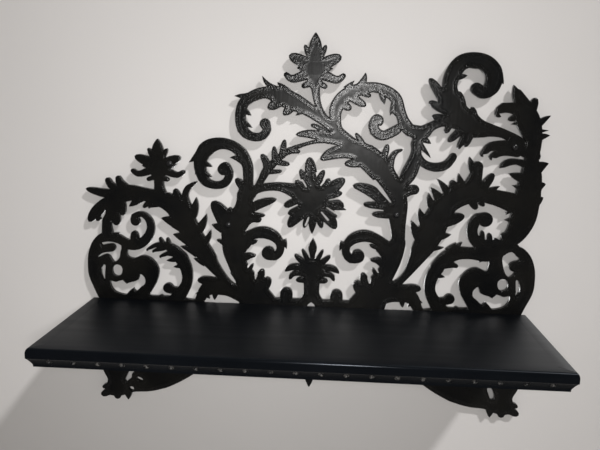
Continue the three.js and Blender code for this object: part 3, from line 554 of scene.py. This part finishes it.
def inwardRing(points, distance, tree, share, tiny=1e-9):
    # Points at one distance inside the outline: those that lie nearer to another stretch are left out
    ring = []
    for i, at in enumerate(points):
        along = points[(i + 1) % len(points)] - points[i - 1]
        if along.length < tiny:
            continue
        along.normalize()
        inside = at + Vector((-along.y, along.x)) * distance
        if tree.find((inside.x, inside.y, 0))[2] > distance * share:
            ring.append(inside)
    return ring


def trianglesInside(flat, edges, weld=1e-7):
    # Triangles between closed outlines, from the outer rim inwards: each outline that is crossed turns out
    # to in, or back
    spots, lines, faces, _, origins, _ = mathutils.geometry.delaunay_2d_cdt(flat, edges, [], 0, weld)
    outline = {tuple(sorted(line)) for line, origin in zip(lines, origins) if origin}
    sides = {}
    for number, face in enumerate(faces):
        for a, b in zip(face, face[1:] + face[:1]):
            sides.setdefault(tuple(sorted((a, b))), []).append(number)
    inside = {}
    waiting = []
    for line, owners in sides.items():
        if len(owners) == 1 and owners[0] not in inside:
            inside[owners[0]] = line in outline
            waiting.append(owners[0])
    while waiting:
        number = waiting.pop()
        face = faces[number]
        for a, b in zip(face, face[1:] + face[:1]):
            line = tuple(sorted((a, b)))
            for other in sides[line]:
                if other not in inside:
                    inside[other] = inside[number] != (line in outline)
                    waiting.append(other)
    return spots, [face for number, face in enumerate(faces) if inside.get(number)]


def dropAt(profile, distance):
    # How far the front is sunk at a distance from the outline
    for (nearer, before), (further, after) in zip(profile, profile[1:]):
        if distance <= further:
            return before + (after - before) * (distance - nearer) / (further - nearer)
    return profile[-1][1]


def closedPlate(name, spots, faces, depths, back):
    # Front and back from the same triangles, and a wall along every open edge
    bm = bmesh.new()
    front = [bm.verts.new((p.x, y, p.y)) for p, y in zip(spots, depths)]
    rear = [bm.verts.new((p.x, back, p.y)) for p in spots]
    for face in faces:
        bm.faces.new([front[i] for i in reversed(face)])
    indexOf = {v: i for i, v in enumerate(front)}
    for edge in [e for e in bm.edges if len(e.link_faces) == 1]:
        loop = edge.link_loops[0]
        a, b = indexOf[loop.vert], indexOf[loop.link_loop_next.vert]
        bm.faces.new((front[b], front[a], rear[a], rear[b]))
    for face in faces:
        bm.faces.new([rear[i] for i in face])
    bmesh.ops.recalc_face_normals(bm, faces=bm.faces)
    mesh = bpy.data.meshes.new(name)
    bm.to_mesh(mesh)
    bm.free()
    plate = bpy.data.objects.new(name, mesh)
    bpy.context.scene.collection.objects.link(plate)
    return plate


def makeFretPanel(spec):
    low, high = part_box("back_panel")
    rims = []
    bores = []
    for chain in frontLoops(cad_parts["back_panel"], low.y):
        if lengthAround(chain) < spec["boreRim"]:
            bores.append(finerLoop(chain, spec["step"], spec["boreAngle"]))
        else:
            rims.append(finerLoop(chain, spec["step"], spec["cornerAngle"]))
    tree = outlineTree(rims, spec["treeStep"])
    flat = []
    edges = []
    for points in rims + bores:
        first = len(flat)
        flat.extend(points)
        edges.extend((first + i, first + (i + 1) % len(points)) for i in range(len(points)))
    outlineCount = len(flat)
    for distance, _ in spec["rings"]:
        for points in rims:
            flat.extend(inwardRing(points, distance, tree, spec["ringShare"]))
    spots, faces = trianglesInside(flat, edges)
    profile = [(0.0, spec["edgeDrop"]), *spec["rings"]]
    depths = []
    for spot in spots:
        distance = min(tree.find((spot.x, spot.y, 0))[2], profile[-1][0])
        depths.append(low.y + dropAt(profile, distance if distance > spec["onOutline"] else 0.0))
    spots = [Vector((min(max(p.x, low.x), high.x), min(max(p.y, low.z), high.z))) for p in spots]
    panel = closedPlate("fretPanel", spots, faces, depths, high.y)
    smoothed(panel, spec["smoothUnder"])
    triangles = sum(len(p.vertices) - 2 for p in panel.data.polygons)
    print("panel outline points:", outlineCount, "triangles:", triangles)
    return panel


finishPiece(makeFretPanel(fretPanel), "panel_wood", panelMaterial, "back_panel")
print("fret panel made")


# Shelf board and its mouldings

shelf = {
    "ovoloRun": 0.0032,
    "ovoloDrop": 0.0065,
    "coveRun": 0.006,
    "coveDrop": 0.0095,
    "footHeight": 0.002,
    "coveShape": 0.2,
    "segments": 8,
    "cupRadius": 0.0033,
    "cupSides": 28,
    "cupRings": 20,
    "cupDrop": 0.0156,
    "cupPitch": 0.0274,
    "cupInset": 0.0025,
    "frontCups": 21,
    "sideCups": 6,
    "smoothUnder": 28,
    "backEdge": 0.0006,
    "backSegments": 4,
    "underRim": 0.001,
    "underSink": 0.0001,
    "pilotRadius": 0.0022,
    "rearPilot": 0.036,
    "bracePilot": 0.015,
}


def makeShelfBoard(spec):
    low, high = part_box("shelf_board")
    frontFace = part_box("front_moulding")[1].y
    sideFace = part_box("right_moulding")[0].x
    deselectAll()
    bpy.ops.mesh.primitive_cube_add(size=1, location=(0, (frontFace + high.y) / 2, (low.z + high.z) / 2))
    board = bpy.context.object
    board.name = "shelfBoard"
    board.scale = (2 * sideFace, high.y - frontFace, high.z - low.z)
    applyPlace(board)
    bpy.ops.object.mode_set(mode="EDIT")
    selectEdges(board, lambda a, b: near(a.y, high.y) and near(b.y, high.y) and near(a.z, b.z))
    bpy.ops.mesh.bevel(
        offset=spec["backEdge"], offset_type="OFFSET", segments=spec["backSegments"], profile=0.5
    )
    selectFaces(board, lambda centre, normal: normal.z < -facing)
    bpy.ops.mesh.inset(thickness=spec["underRim"])
    bpy.ops.transform.translate(value=(0, 0, spec["underSink"]))
    bpy.ops.object.mode_set(mode="OBJECT")
    for i in (1, 2, 3):
        centre = centreOf(f"rear_screw_{i}")
        drillHole(board, spec["pilotRadius"], (centre.x, high.y, centre.z), "Y", 2 * spec["rearPilot"])
    for i in (1, 2, 3, 4):
        centre = centreOf(f"brace_screw_{i}")
        drillHole(board, spec["pilotRadius"], (centre.x, centre.y, low.z), "Z", 2 * spec["bracePilot"])
    smoothed(board)
    return board


def mouldingBlank(spec, length, width, height):
    # A straight length along X with its front to -Y and its top at Z = 0, shaped by two bevels and a foot.
    # Each bevel is made with the height scaled, so that its run and its drop differ
    ovoloRatio = spec["ovoloRun"] / spec["ovoloDrop"]
    coveRatio = spec["coveRun"] / spec["coveDrop"]
    segments = spec["segments"]
    deselectAll()
    bpy.ops.mesh.primitive_cube_add(size=1)
    blank = bpy.context.object
    blank.scale = (length, width, (height - spec["footHeight"]) * ovoloRatio)
    blank.location = (0, width / 2, -blank.scale.z / 2)
    applyPlace(blank)
    bpy.ops.object.mode_set(mode="EDIT")
    selectEdges(blank, lambda a, b: all(near(end.y, 0) and near(end.z, 0) for end in (a, b)))
    bpy.ops.mesh.bevel(offset=spec["ovoloRun"], offset_type="OFFSET", segments=segments, profile=0.5)
    bpy.ops.mesh.select_all(action="SELECT")
    bpy.ops.transform.resize(value=(1, 1, coveRatio / ovoloRatio), center_override=(0, 0, 0))
    bottom = -(height - spec["footHeight"]) * coveRatio
    selectEdges(blank, lambda a, b: all(near(end.y, 0) and near(end.z, bottom) for end in (a, b)))
    bpy.ops.mesh.bevel(
        offset=spec["coveRun"], offset_type="OFFSET", segments=segments, profile=spec["coveShape"]
    )
    bpy.ops.mesh.select_all(action="SELECT")
    bpy.ops.transform.resize(value=(1, 1, 1 / coveRatio), center_override=(0, 0, 0))
    footTop = -height + spec["footHeight"]
    selectFaces(blank, lambda centre, normal: normal.z < -facing and near(centre.z, footTop, 1e-4))
    bpy.ops.mesh.extrude_region_move(TRANSFORM_OT_translate={"value": (0, 0, -spec["footHeight"])})
    bpy.ops.object.mode_set(mode="OBJECT")
    return blank


def mitre(blank, corner, normal):
    workOn(blank)
    bpy.ops.object.mode_set(mode="EDIT")
    bpy.ops.mesh.select_all(action="SELECT")
    bpy.ops.mesh.bisect(plane_co=corner, plane_no=normal, use_fill=True, clear_outer=True)
    bpy.ops.object.mode_set(mode="OBJECT")


def cutCups(spec, blank, count):
    # The cut faces keep the cutter's material, so that the hollows carry the painted highlight flecks and the
    # face doesn't
    cutters = []
    for i in range(count):
        x = (i - (count - 1) / 2) * spec["cupPitch"]
        deselectAll()
        bpy.ops.mesh.primitive_uv_sphere_add(
            segments=spec["cupSides"],
            ring_count=spec["cupRings"],
            radius=spec["cupRadius"],
            location=(x, spec["cupInset"], -spec["cupDrop"]),
        )
        cutters.append(bpy.context.object)
    cutter = joined(cutters, "cupCutter")
    for piece in (blank, cutter):
        piece.data.materials.append(boardMaterial)
        piece.data.materials.append(cupMaterial)
    for face in cutter.data.polygons:
        face.material_index = 1
    cutWith(blank, cutter)


def makeFrontMoulding(spec):
    low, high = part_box("front_moulding")
    half = (high.x - low.x) / 2
    blank = mouldingBlank(spec, 2 * half, high.y - low.y, high.z - low.z)
    mitre(blank, (half, 0, 0), (1, 1, 0))
    mitre(blank, (-half, 0, 0), (-1, 1, 0))
    cutCups(spec, blank, spec["frontCups"])
    blank.location = (0, low.y, high.z)
    applyPlace(blank)
    blank.name = "frontMoulding"
    smoothed(blank, spec["smoothUnder"])
    return blank


def makeSideMoulding(spec, side):
    # Made like the front one and turned: its mitred end is the one away from the wall
    low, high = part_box("right_moulding" if side > 0 else "left_moulding")
    length = high.y - low.y
    blank = mouldingBlank(spec, length, high.x - low.x, high.z - low.z)
    mitre(blank, (-side * length / 2, 0, 0), (-side, 1, 0))
    cutCups(spec, blank, spec["sideCups"])
    blank.data.transform(Matrix.Rotation(side * math.pi / 2, 4, "Z"))
    blank.location = (high.x if side > 0 else low.x, (low.y + high.y) / 2, high.z)
    applyPlace(blank)
    blank.name = "rightMoulding" if side > 0 else "leftMoulding"
    smoothed(blank, spec["smoothUnder"])
    return blank


finishPiece(makeShelfBoard(shelf), "board_wood", boardMaterial, "shelf_board")
finishPiece(makeFrontMoulding(shelf), "board_wood", boardMaterial, "front_moulding")
finishPiece(makeSideMoulding(shelf, 1), "board_wood", boardMaterial, "right_moulding")
finishPiece(makeSideMoulding(shelf, -1), "board_wood", boardMaterial, "left_moulding")
print("board and mouldings made")


# Screws: a pan head with a cross recess, and a threaded shank that ends in a point. The lengths are shares:
# of the head's radius or height, of the shank's radius or width, and for the thread's size of its pitch

screw = {
    "crossLength": 1.15,
    "crossWidth": 0.28,
    "crossDepth": 0.55,
    "headSides": 28,
    "headRings": 16,
    "headSunk": 0.25,
    "shankSides": 20,
    "pointLength": 2.2,
    "pointShare": 0.12,
    "threadPitch": 0.62,
    "threadDepth": 0.16,
    "threadSize": 0.24,
    "threadedShare": 0.72,
    "threadSteps": 14,
    "smoothUnder": 30,
}

wallScrew = {
    "radius": 0.002,
    "headRadius": 0.004,
    "headHeight": 0.0024,
    "slot": "black_steel",
    "material": blackSteel,
}

boardScrew = {
    "radius": 0.00175,
    "headRadius": 0.0035,
    "headHeight": 0.002,
    "slot": "zinc_steel",
    "material": zincSteel,
}

# Rows of screws of one length: the axis that they run along, from which side, and how far each next one turns
screwRows = (
    {"row": "wall", "first": 1, "last": 4, "kind": wallScrew, "axis": 1, "fromLow": True, "turn": 0.7},
    {"row": "wall", "first": 5, "last": 8, "kind": wallScrew, "axis": 1, "fromLow": True, "turn": 0.7},
    {"row": "rear", "first": 1, "last": 3, "kind": boardScrew, "axis": 1, "fromLow": False, "turn": 0.9},
    {"row": "brace", "first": 1, "last": 4, "kind": boardScrew, "axis": 2, "fromLow": True, "turn": 0.5},
)


def makeHead(spec, radius, height):
    # The cap of a ball, flat at Z = 0, with two crossed slots
    deselectAll()
    bpy.ops.mesh.primitive_uv_sphere_add(segments=spec["headSides"], ring_count=spec["headRings"], radius=1)
    head = bpy.context.object
    sunk = spec["headSunk"]
    bpy.ops.object.mode_set(mode="EDIT")
    bpy.ops.mesh.select_all(action="SELECT")
    bpy.ops.mesh.bisect(plane_co=(0, 0, -sunk), plane_no=(0, 0, 1), use_fill=True, clear_inner=True)
    bpy.ops.object.mode_set(mode="OBJECT")
    head.scale = (radius, radius, height / (1 + sunk))
    head.location = (0, 0, sunk * height / (1 + sunk))
    applyPlace(head)
    for turn in (0, math.pi / 2):
        deselectAll()
        bpy.ops.mesh.primitive_cube_add(size=1, rotation=(0, 0, turn))
        cutter = bpy.context.object
        cutter.scale = (
            radius * spec["crossLength"],
            radius * spec["crossWidth"],
            height * spec["crossDepth"] * 2,
        )
        cutter.location = (0, 0, height)
        applyPlace(cutter)
        cutWith(head, cutter)
    return head


def makeThread(spec, radius, bite, pointLength):
    # A small triangle wound around the shank, with its two ends closed
    pitch = spec["threadPitch"] * radius * 2
    size = pitch * spec["threadSize"]
    deselectAll()
    bpy.ops.mesh.primitive_circle_add(
        vertices=3, radius=size, fill_type="NGON", rotation=(math.pi / 2, 0, 0)
    )
    thread = bpy.context.object
    thread.location = (radius - size, 0, -bite + pointLength + pitch)
    applyPlace(thread)
    winding = thread.modifiers.new("winding", "SCREW")
    winding.axis = "Z"
    winding.angle = 2 * math.pi
    winding.screw_offset = pitch
    winding.iterations = max(1, int((bite * spec["threadedShare"] - pointLength) / pitch))
    winding.steps = spec["threadSteps"]
    winding.render_steps = spec["threadSteps"]
    winding.use_merge_vertices = False
    applyModifiers(thread)
    bpy.ops.object.mode_set(mode="EDIT")
    bpy.ops.mesh.select_all(action="SELECT")
    bpy.ops.mesh.fill_holes(sides=3)
    bpy.ops.mesh.select_all(action="SELECT")
    bpy.ops.mesh.normals_make_consistent(inside=False)
    bpy.ops.object.mode_set(mode="OBJECT")
    return thread


def makeScrew(spec, name, kind, bite):
    # Stands along -Y: the head is in front of Y = 0 and the shank runs to +Y
    radius = kind["radius"]
    head = makeHead(spec, kind["headRadius"], kind["headHeight"])
    pointLength = spec["pointLength"] * radius
    point = spec["pointShare"]
    deselectAll()
    bpy.ops.mesh.primitive_cylinder_add(
        vertices=spec["shankSides"],
        radius=radius * (1 - spec["threadDepth"]),
        depth=bite,
        location=(0, 0, -bite / 2),
    )
    shank = bpy.context.object
    bpy.ops.object.mode_set(mode="EDIT")
    selectFaces(shank, lambda centre, normal: normal.z < -facing)
    bpy.ops.transform.translate(value=(0, 0, pointLength))
    bpy.ops.mesh.extrude_region_move(TRANSFORM_OT_translate={"value": (0, 0, -pointLength)})
    bpy.ops.transform.resize(value=(point, point, 1))
    bpy.ops.object.mode_set(mode="OBJECT")
    applyPlace(shank)
    thread = makeThread(spec, radius, bite, pointLength)
    whole = joined([head, shank, thread], name)
    whole.data.transform(Matrix.Rotation(math.pi / 2, 4, "X"))
    smoothed(whole, spec["smoothUnder"])
    return whole


def placeScrews(spec, row, first, last, kind, axis, fromLow, turn):
    # The screws of a row are copies of one master
    headHeight = kind["headHeight"]
    low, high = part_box(f"{row}_screw_{first}")
    master = makeScrew(spec, f"{row}ScrewMaster", kind, (high - low)[axis] - headHeight)
    heading = Matrix.Identity(4)
    if axis == 2:
        heading = Matrix.Rotation(math.pi / 2, 4, "X")
    elif not fromLow:
        heading = Matrix.Rotation(math.pi, 4, "Z")
    for i in range(first, last + 1):
        low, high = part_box(f"{row}_screw_{i}")
        seat = (low + high) / 2
        seat[axis] = low[axis] + headHeight if fromLow else high[axis] - headHeight
        place = Matrix.Translation(seat) @ heading @ Matrix.Rotation(turn * i, 4, "Y")
        piece = copyTo(master, f"{row}Screw{i}", place)
        finishPiece(piece, kind["slot"], kind["material"], f"{row}_screw_{i}")
    bpy.data.objects.remove(master)


for row in screwRows:
    placeScrews(screw, **row)
print("screws made")


# Spacers behind the panel

spacer = {"outer": 0.007, "hole": 0.0023, "sides": 40, "soften": 0.0005}


def placeSpacers(spec):
    low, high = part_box("wall_spacer_1")
    deselectAll()
    bpy.ops.mesh.primitive_cylinder_add(vertices=spec["sides"], radius=spec["outer"], depth=high.y - low.y)
    master = bpy.context.object
    bpy.ops.object.mode_set(mode="EDIT")
    selectFaces(master, lambda centre, normal: abs(normal.z) > facing)
    bpy.ops.mesh.inset(thickness=spec["outer"] - spec["hole"])
    bpy.ops.mesh.bridge_edge_loops()
    bpy.ops.object.mode_set(mode="OBJECT")
    master.data.transform(Matrix.Rotation(math.pi / 2, 4, "X"))
    addBevel(master, spec["soften"])
    smoothed(master)
    for i in range(1, 9):
        piece = copyTo(master, f"wallSpacer{i}", Matrix.Translation(centreOf(f"wall_spacer_{i}")))
        finishPiece(piece, "spacer_plastic", nylonMaterial, f"wall_spacer_{i}")
    bpy.data.objects.remove(master)


placeSpacers(spacer)
print("spacers made")


# Corner braces under the board

brace = {
    "thickness": 0.002,
    "bend": 0.003,
    "bendSteps": 8,
    "holeRadius": 0.0024,
    "drillLength": 0.012,
    "soften": 0.0004,
}


def makeBrace(spec, side):
    # A flat strip whose end is bent down along the panel, step by step
    low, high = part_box("right_brace" if side > 0 else "left_brace")
    thickness = spec["thickness"]
    outer = spec["bend"] + thickness
    middle = (low.x + high.x) / 2
    reach = high.y - low.y - outer
    deselectAll()
    bpy.ops.mesh.primitive_cube_add(size=1, location=(middle, low.y + reach / 2, high.z - thickness / 2))
    strip = bpy.context.object
    strip.scale = (high.x - low.x, reach, thickness)
    applyPlace(strip)
    bpy.ops.object.mode_set(mode="EDIT")
    selectFaces(strip, lambda centre, normal: normal.y > facing)
    bendCentre = (middle, high.y - outer, high.z - outer)
    bendStep = math.pi / 2 / spec["bendSteps"]
    for _ in range(spec["bendSteps"]):
        bpy.ops.mesh.extrude_region_move(TRANSFORM_OT_translate={"value": (0, 0, 0)})
        bpy.ops.transform.rotate(value=bendStep, orient_axis="X", center_override=bendCentre)
    bpy.ops.mesh.extrude_region_move(TRANSFORM_OT_translate={"value": (0, 0, low.z - bendCentre[2])})
    bpy.ops.mesh.select_all(action="SELECT")
    bpy.ops.mesh.normals_make_consistent(inside=False)
    bpy.ops.object.mode_set(mode="OBJECT")
    for row, numbers, axis in (("brace", range(1, 5), "Z"), ("wall", range(5, 9), "Y")):
        for i in numbers:
            centre = centreOf(f"{row}_screw_{i}")
            if low.x < centre.x < high.x:
                place = (centre.x, centre.y, high.z) if axis == "Z" else (centre.x, high.y, centre.z)
                drillHole(strip, spec["holeRadius"], place, axis, spec["drillLength"])
    addBevel(strip, spec["soften"])
    strip.name = "rightBrace" if side > 0 else "leftBrace"
    smoothed(strip)
    return strip


finishPiece(makeBrace(brace, 1), "black_steel", blackSteel, "right_brace")
finishPiece(makeBrace(brace, -1), "black_steel", blackSteel, "left_brace")
print("braces made")


# Room: a white wall and a pale floor that are each seen from one side only, soft light, and the camera

room = {"size": 9.0, "floorLevel": -0.62, "wallGap": 0.0003}

wallPaint = {
    "colour": (0.62, 0.607, 0.598),
    "darkShare": 0.965,
    "roughness": 0.85,
    "cloudPerMetre": 1.6,
    "cloudDetail": 3,
    "grainPerMetre": 160,
    "grainStrength": 0.12,
    "grainDepth": 0.0004,
}

floorPaint = {
    "colour": (0.50, 0.485, 0.47),
    "darkShare": 0.95,
    "roughness": 0.7,
    "cloudPerMetre": 2.2,
    "cloudDetail": 4,
}


def makeRoomPaint(name, paint):
    material, shader = newMaterial(name, paint["colour"], paint["roughness"])
    cloud = pattern(material, paint["cloudPerMetre"], detail=paint["cloudDetail"])
    dark = tuple(c * paint["darkShare"] for c in paint["colour"])
    link(material, blendColours(material, cloud, dark, paint["colour"]), shader.inputs["Base Color"])
    return material, shader


def clearWhere(material, shader, share):
    clear = addNode(material, "ShaderNodeBsdfTransparent")
    mix = addNode(material, "ShaderNodeMixShader")
    link(material, share, mix.inputs["Fac"])
    link(material, shader.outputs["BSDF"], mix.inputs[1])
    link(material, clear.outputs["BSDF"], mix.inputs[2])
    link(material, mix.outputs["Shader"], material.node_tree.nodes["Material Output"].inputs["Surface"])


def makeWall(spec, paint):
    # Clear from behind, and to the lights behind it
    deselectAll()
    bpy.ops.mesh.primitive_plane_add(size=spec["size"], rotation=(math.pi / 2, 0, 0))
    wall = bpy.context.object
    wall.name = "wall"
    wall.location = (0, spec["wallGap"], spec["floorLevel"] + spec["size"] / 2)
    applyPlace(wall)
    material, shader = makeRoomPaint("wallPaint", paint)
    grain = pattern(material, paint["grainPerMetre"], detail=5)
    addBumps(material, shader, (grain, paint["grainStrength"], paint["grainDepth"]))
    side = addNode(material, "ShaderNodeNewGeometry")
    rays = addNode(material, "ShaderNodeLightPath")
    either = addNode(material, "ShaderNodeMath", operation="MAXIMUM")
    link(material, side.outputs["Backfacing"], either.inputs[0])
    link(material, rays.outputs["Is Shadow Ray"], either.inputs[1])
    clearWhere(material, shader, either.outputs["Value"])
    wall.data.materials.append(material)


def makeFloor(spec, paint):
    # Clear from below
    deselectAll()
    bpy.ops.mesh.primitive_plane_add(size=spec["size"], location=(0, 0, spec["floorLevel"]))
    floor = bpy.context.object
    floor.name = "floor"
    applyPlace(floor)
    material, shader = makeRoomPaint("floorPaint", paint)
    side = addNode(material, "ShaderNodeNewGeometry")
    clearWhere(material, shader, side.outputs["Backfacing"])
    floor.data.materials.append(material)


air = {"colour": (1.0, 0.955, 0.90, 1), "strength": 0.235}

shelfMiddle = (0, 0, 0.1)

# The lamp by the camera throws a cone. Glow and behind stand behind the wall, which lets them through: a
# faint one over the board's right end, and one below the board for the panel's back
lamps = (
    {
        "name": "key",
        "place": (2.0, -2.6, 3.0),
        "target": shelfMiddle,
        "size": 0.25,
        "power": 104,
        "colour": (1, 0.98, 0.97),
    },
    {
        "name": "lamp",
        "place": (0.065, -1.0, 0.28),
        "target": (-0.05, 0, 0.12),
        "size": 0.14,
        "power": 1.25,
        "colour": (1, 0.985, 0.97),
        "spread": 77,
    },
    {
        "name": "glow",
        "place": (1.25, 1.5, 0.5),
        "target": shelfMiddle,
        "size": 0.7,
        "power": 7,
        "colour": (1, 1, 1),
    },
    {
        "name": "behind",
        "place": (-0.45, 1.3, -0.3),
        "target": shelfMiddle,
        "size": 0.5,
        "power": 45,
        "colour": (1, 1, 1),
    },
)


def lightAir(spec):
    world = bpy.context.scene.world or bpy.data.worlds.new("room")
    bpy.context.scene.world = world
    world.use_nodes = True
    background = world.node_tree.nodes["Background"]
    background.inputs["Color"].default_value = spec["colour"]
    background.inputs["Strength"].default_value = spec["strength"]


def addLamp(spec):
    data = bpy.data.lights.new(spec["name"], "AREA")
    data.shape = "DISK"
    data.size = spec["size"]
    data.energy = spec["power"]
    data.color = spec["colour"]
    if "spread" in spec:
        data.spread = math.radians(spec["spread"])
    lamp = bpy.data.objects.new(spec["name"], data)
    bpy.context.scene.collection.objects.link(lamp)
    lamp.location = spec["place"]
    way = Vector(spec["target"]) - Vector(spec["place"])
    lamp.rotation_euler = way.to_track_quat("-Z", "Y").to_euler()


cameraSpec = {
    "place": (0.0382, -0.8744, 0.2670),
    "pitch": 10.11,
    "yaw": 3.23,
    "roll": 1.38,
    "focal": 650,
    "width": 600,
    "sensor": 36,
    "clipStart": 0.01,
}


def placeCamera(spec):
    # Angles in degrees, and the focal length in pixels of a picture of this width
    pitch, yaw, roll = (math.radians(spec[key]) for key in ("pitch", "yaw", "roll"))
    cos, sin = math.cos(pitch), math.sin(pitch)
    aboutX = Matrix(((1, 0, 0), (0, cos, -sin), (0, sin, cos)))
    cos, sin = math.cos(yaw), math.sin(yaw)
    aboutY = Matrix(((cos, 0, sin), (0, 1, 0), (-sin, 0, cos)))
    cos, sin = math.cos(roll), math.sin(roll)
    aboutZ = Matrix(((cos, -sin, 0), (sin, cos, 0), (0, 0, 1)))
    turned = aboutZ @ aboutX @ aboutY
    right, down, ahead = (Vector((row[0], row[2], -row[1])) for row in turned)
    data = bpy.data.cameras.new("camera")
    data.sensor_width = spec["sensor"]
    data.lens = data.sensor_width * spec["focal"] / spec["width"]
    data.clip_start = spec["clipStart"]
    camera = bpy.data.objects.new("camera", data)
    bpy.context.scene.collection.objects.link(camera)
    place = Matrix((right, -down, -ahead)).transposed().to_4x4()
    place.translation = Vector(spec["place"])
    camera.matrix_world = place
    bpy.context.scene.camera = camera


makeWall(room, wallPaint)
makeFloor(room, floorPaint)
lightAir(air)
for lampSpec in lamps:
    addLamp(lampSpec)
placeCamera(cameraSpec)
bpy.context.scene.view_settings.view_transform = "Standard"
print("room lit")
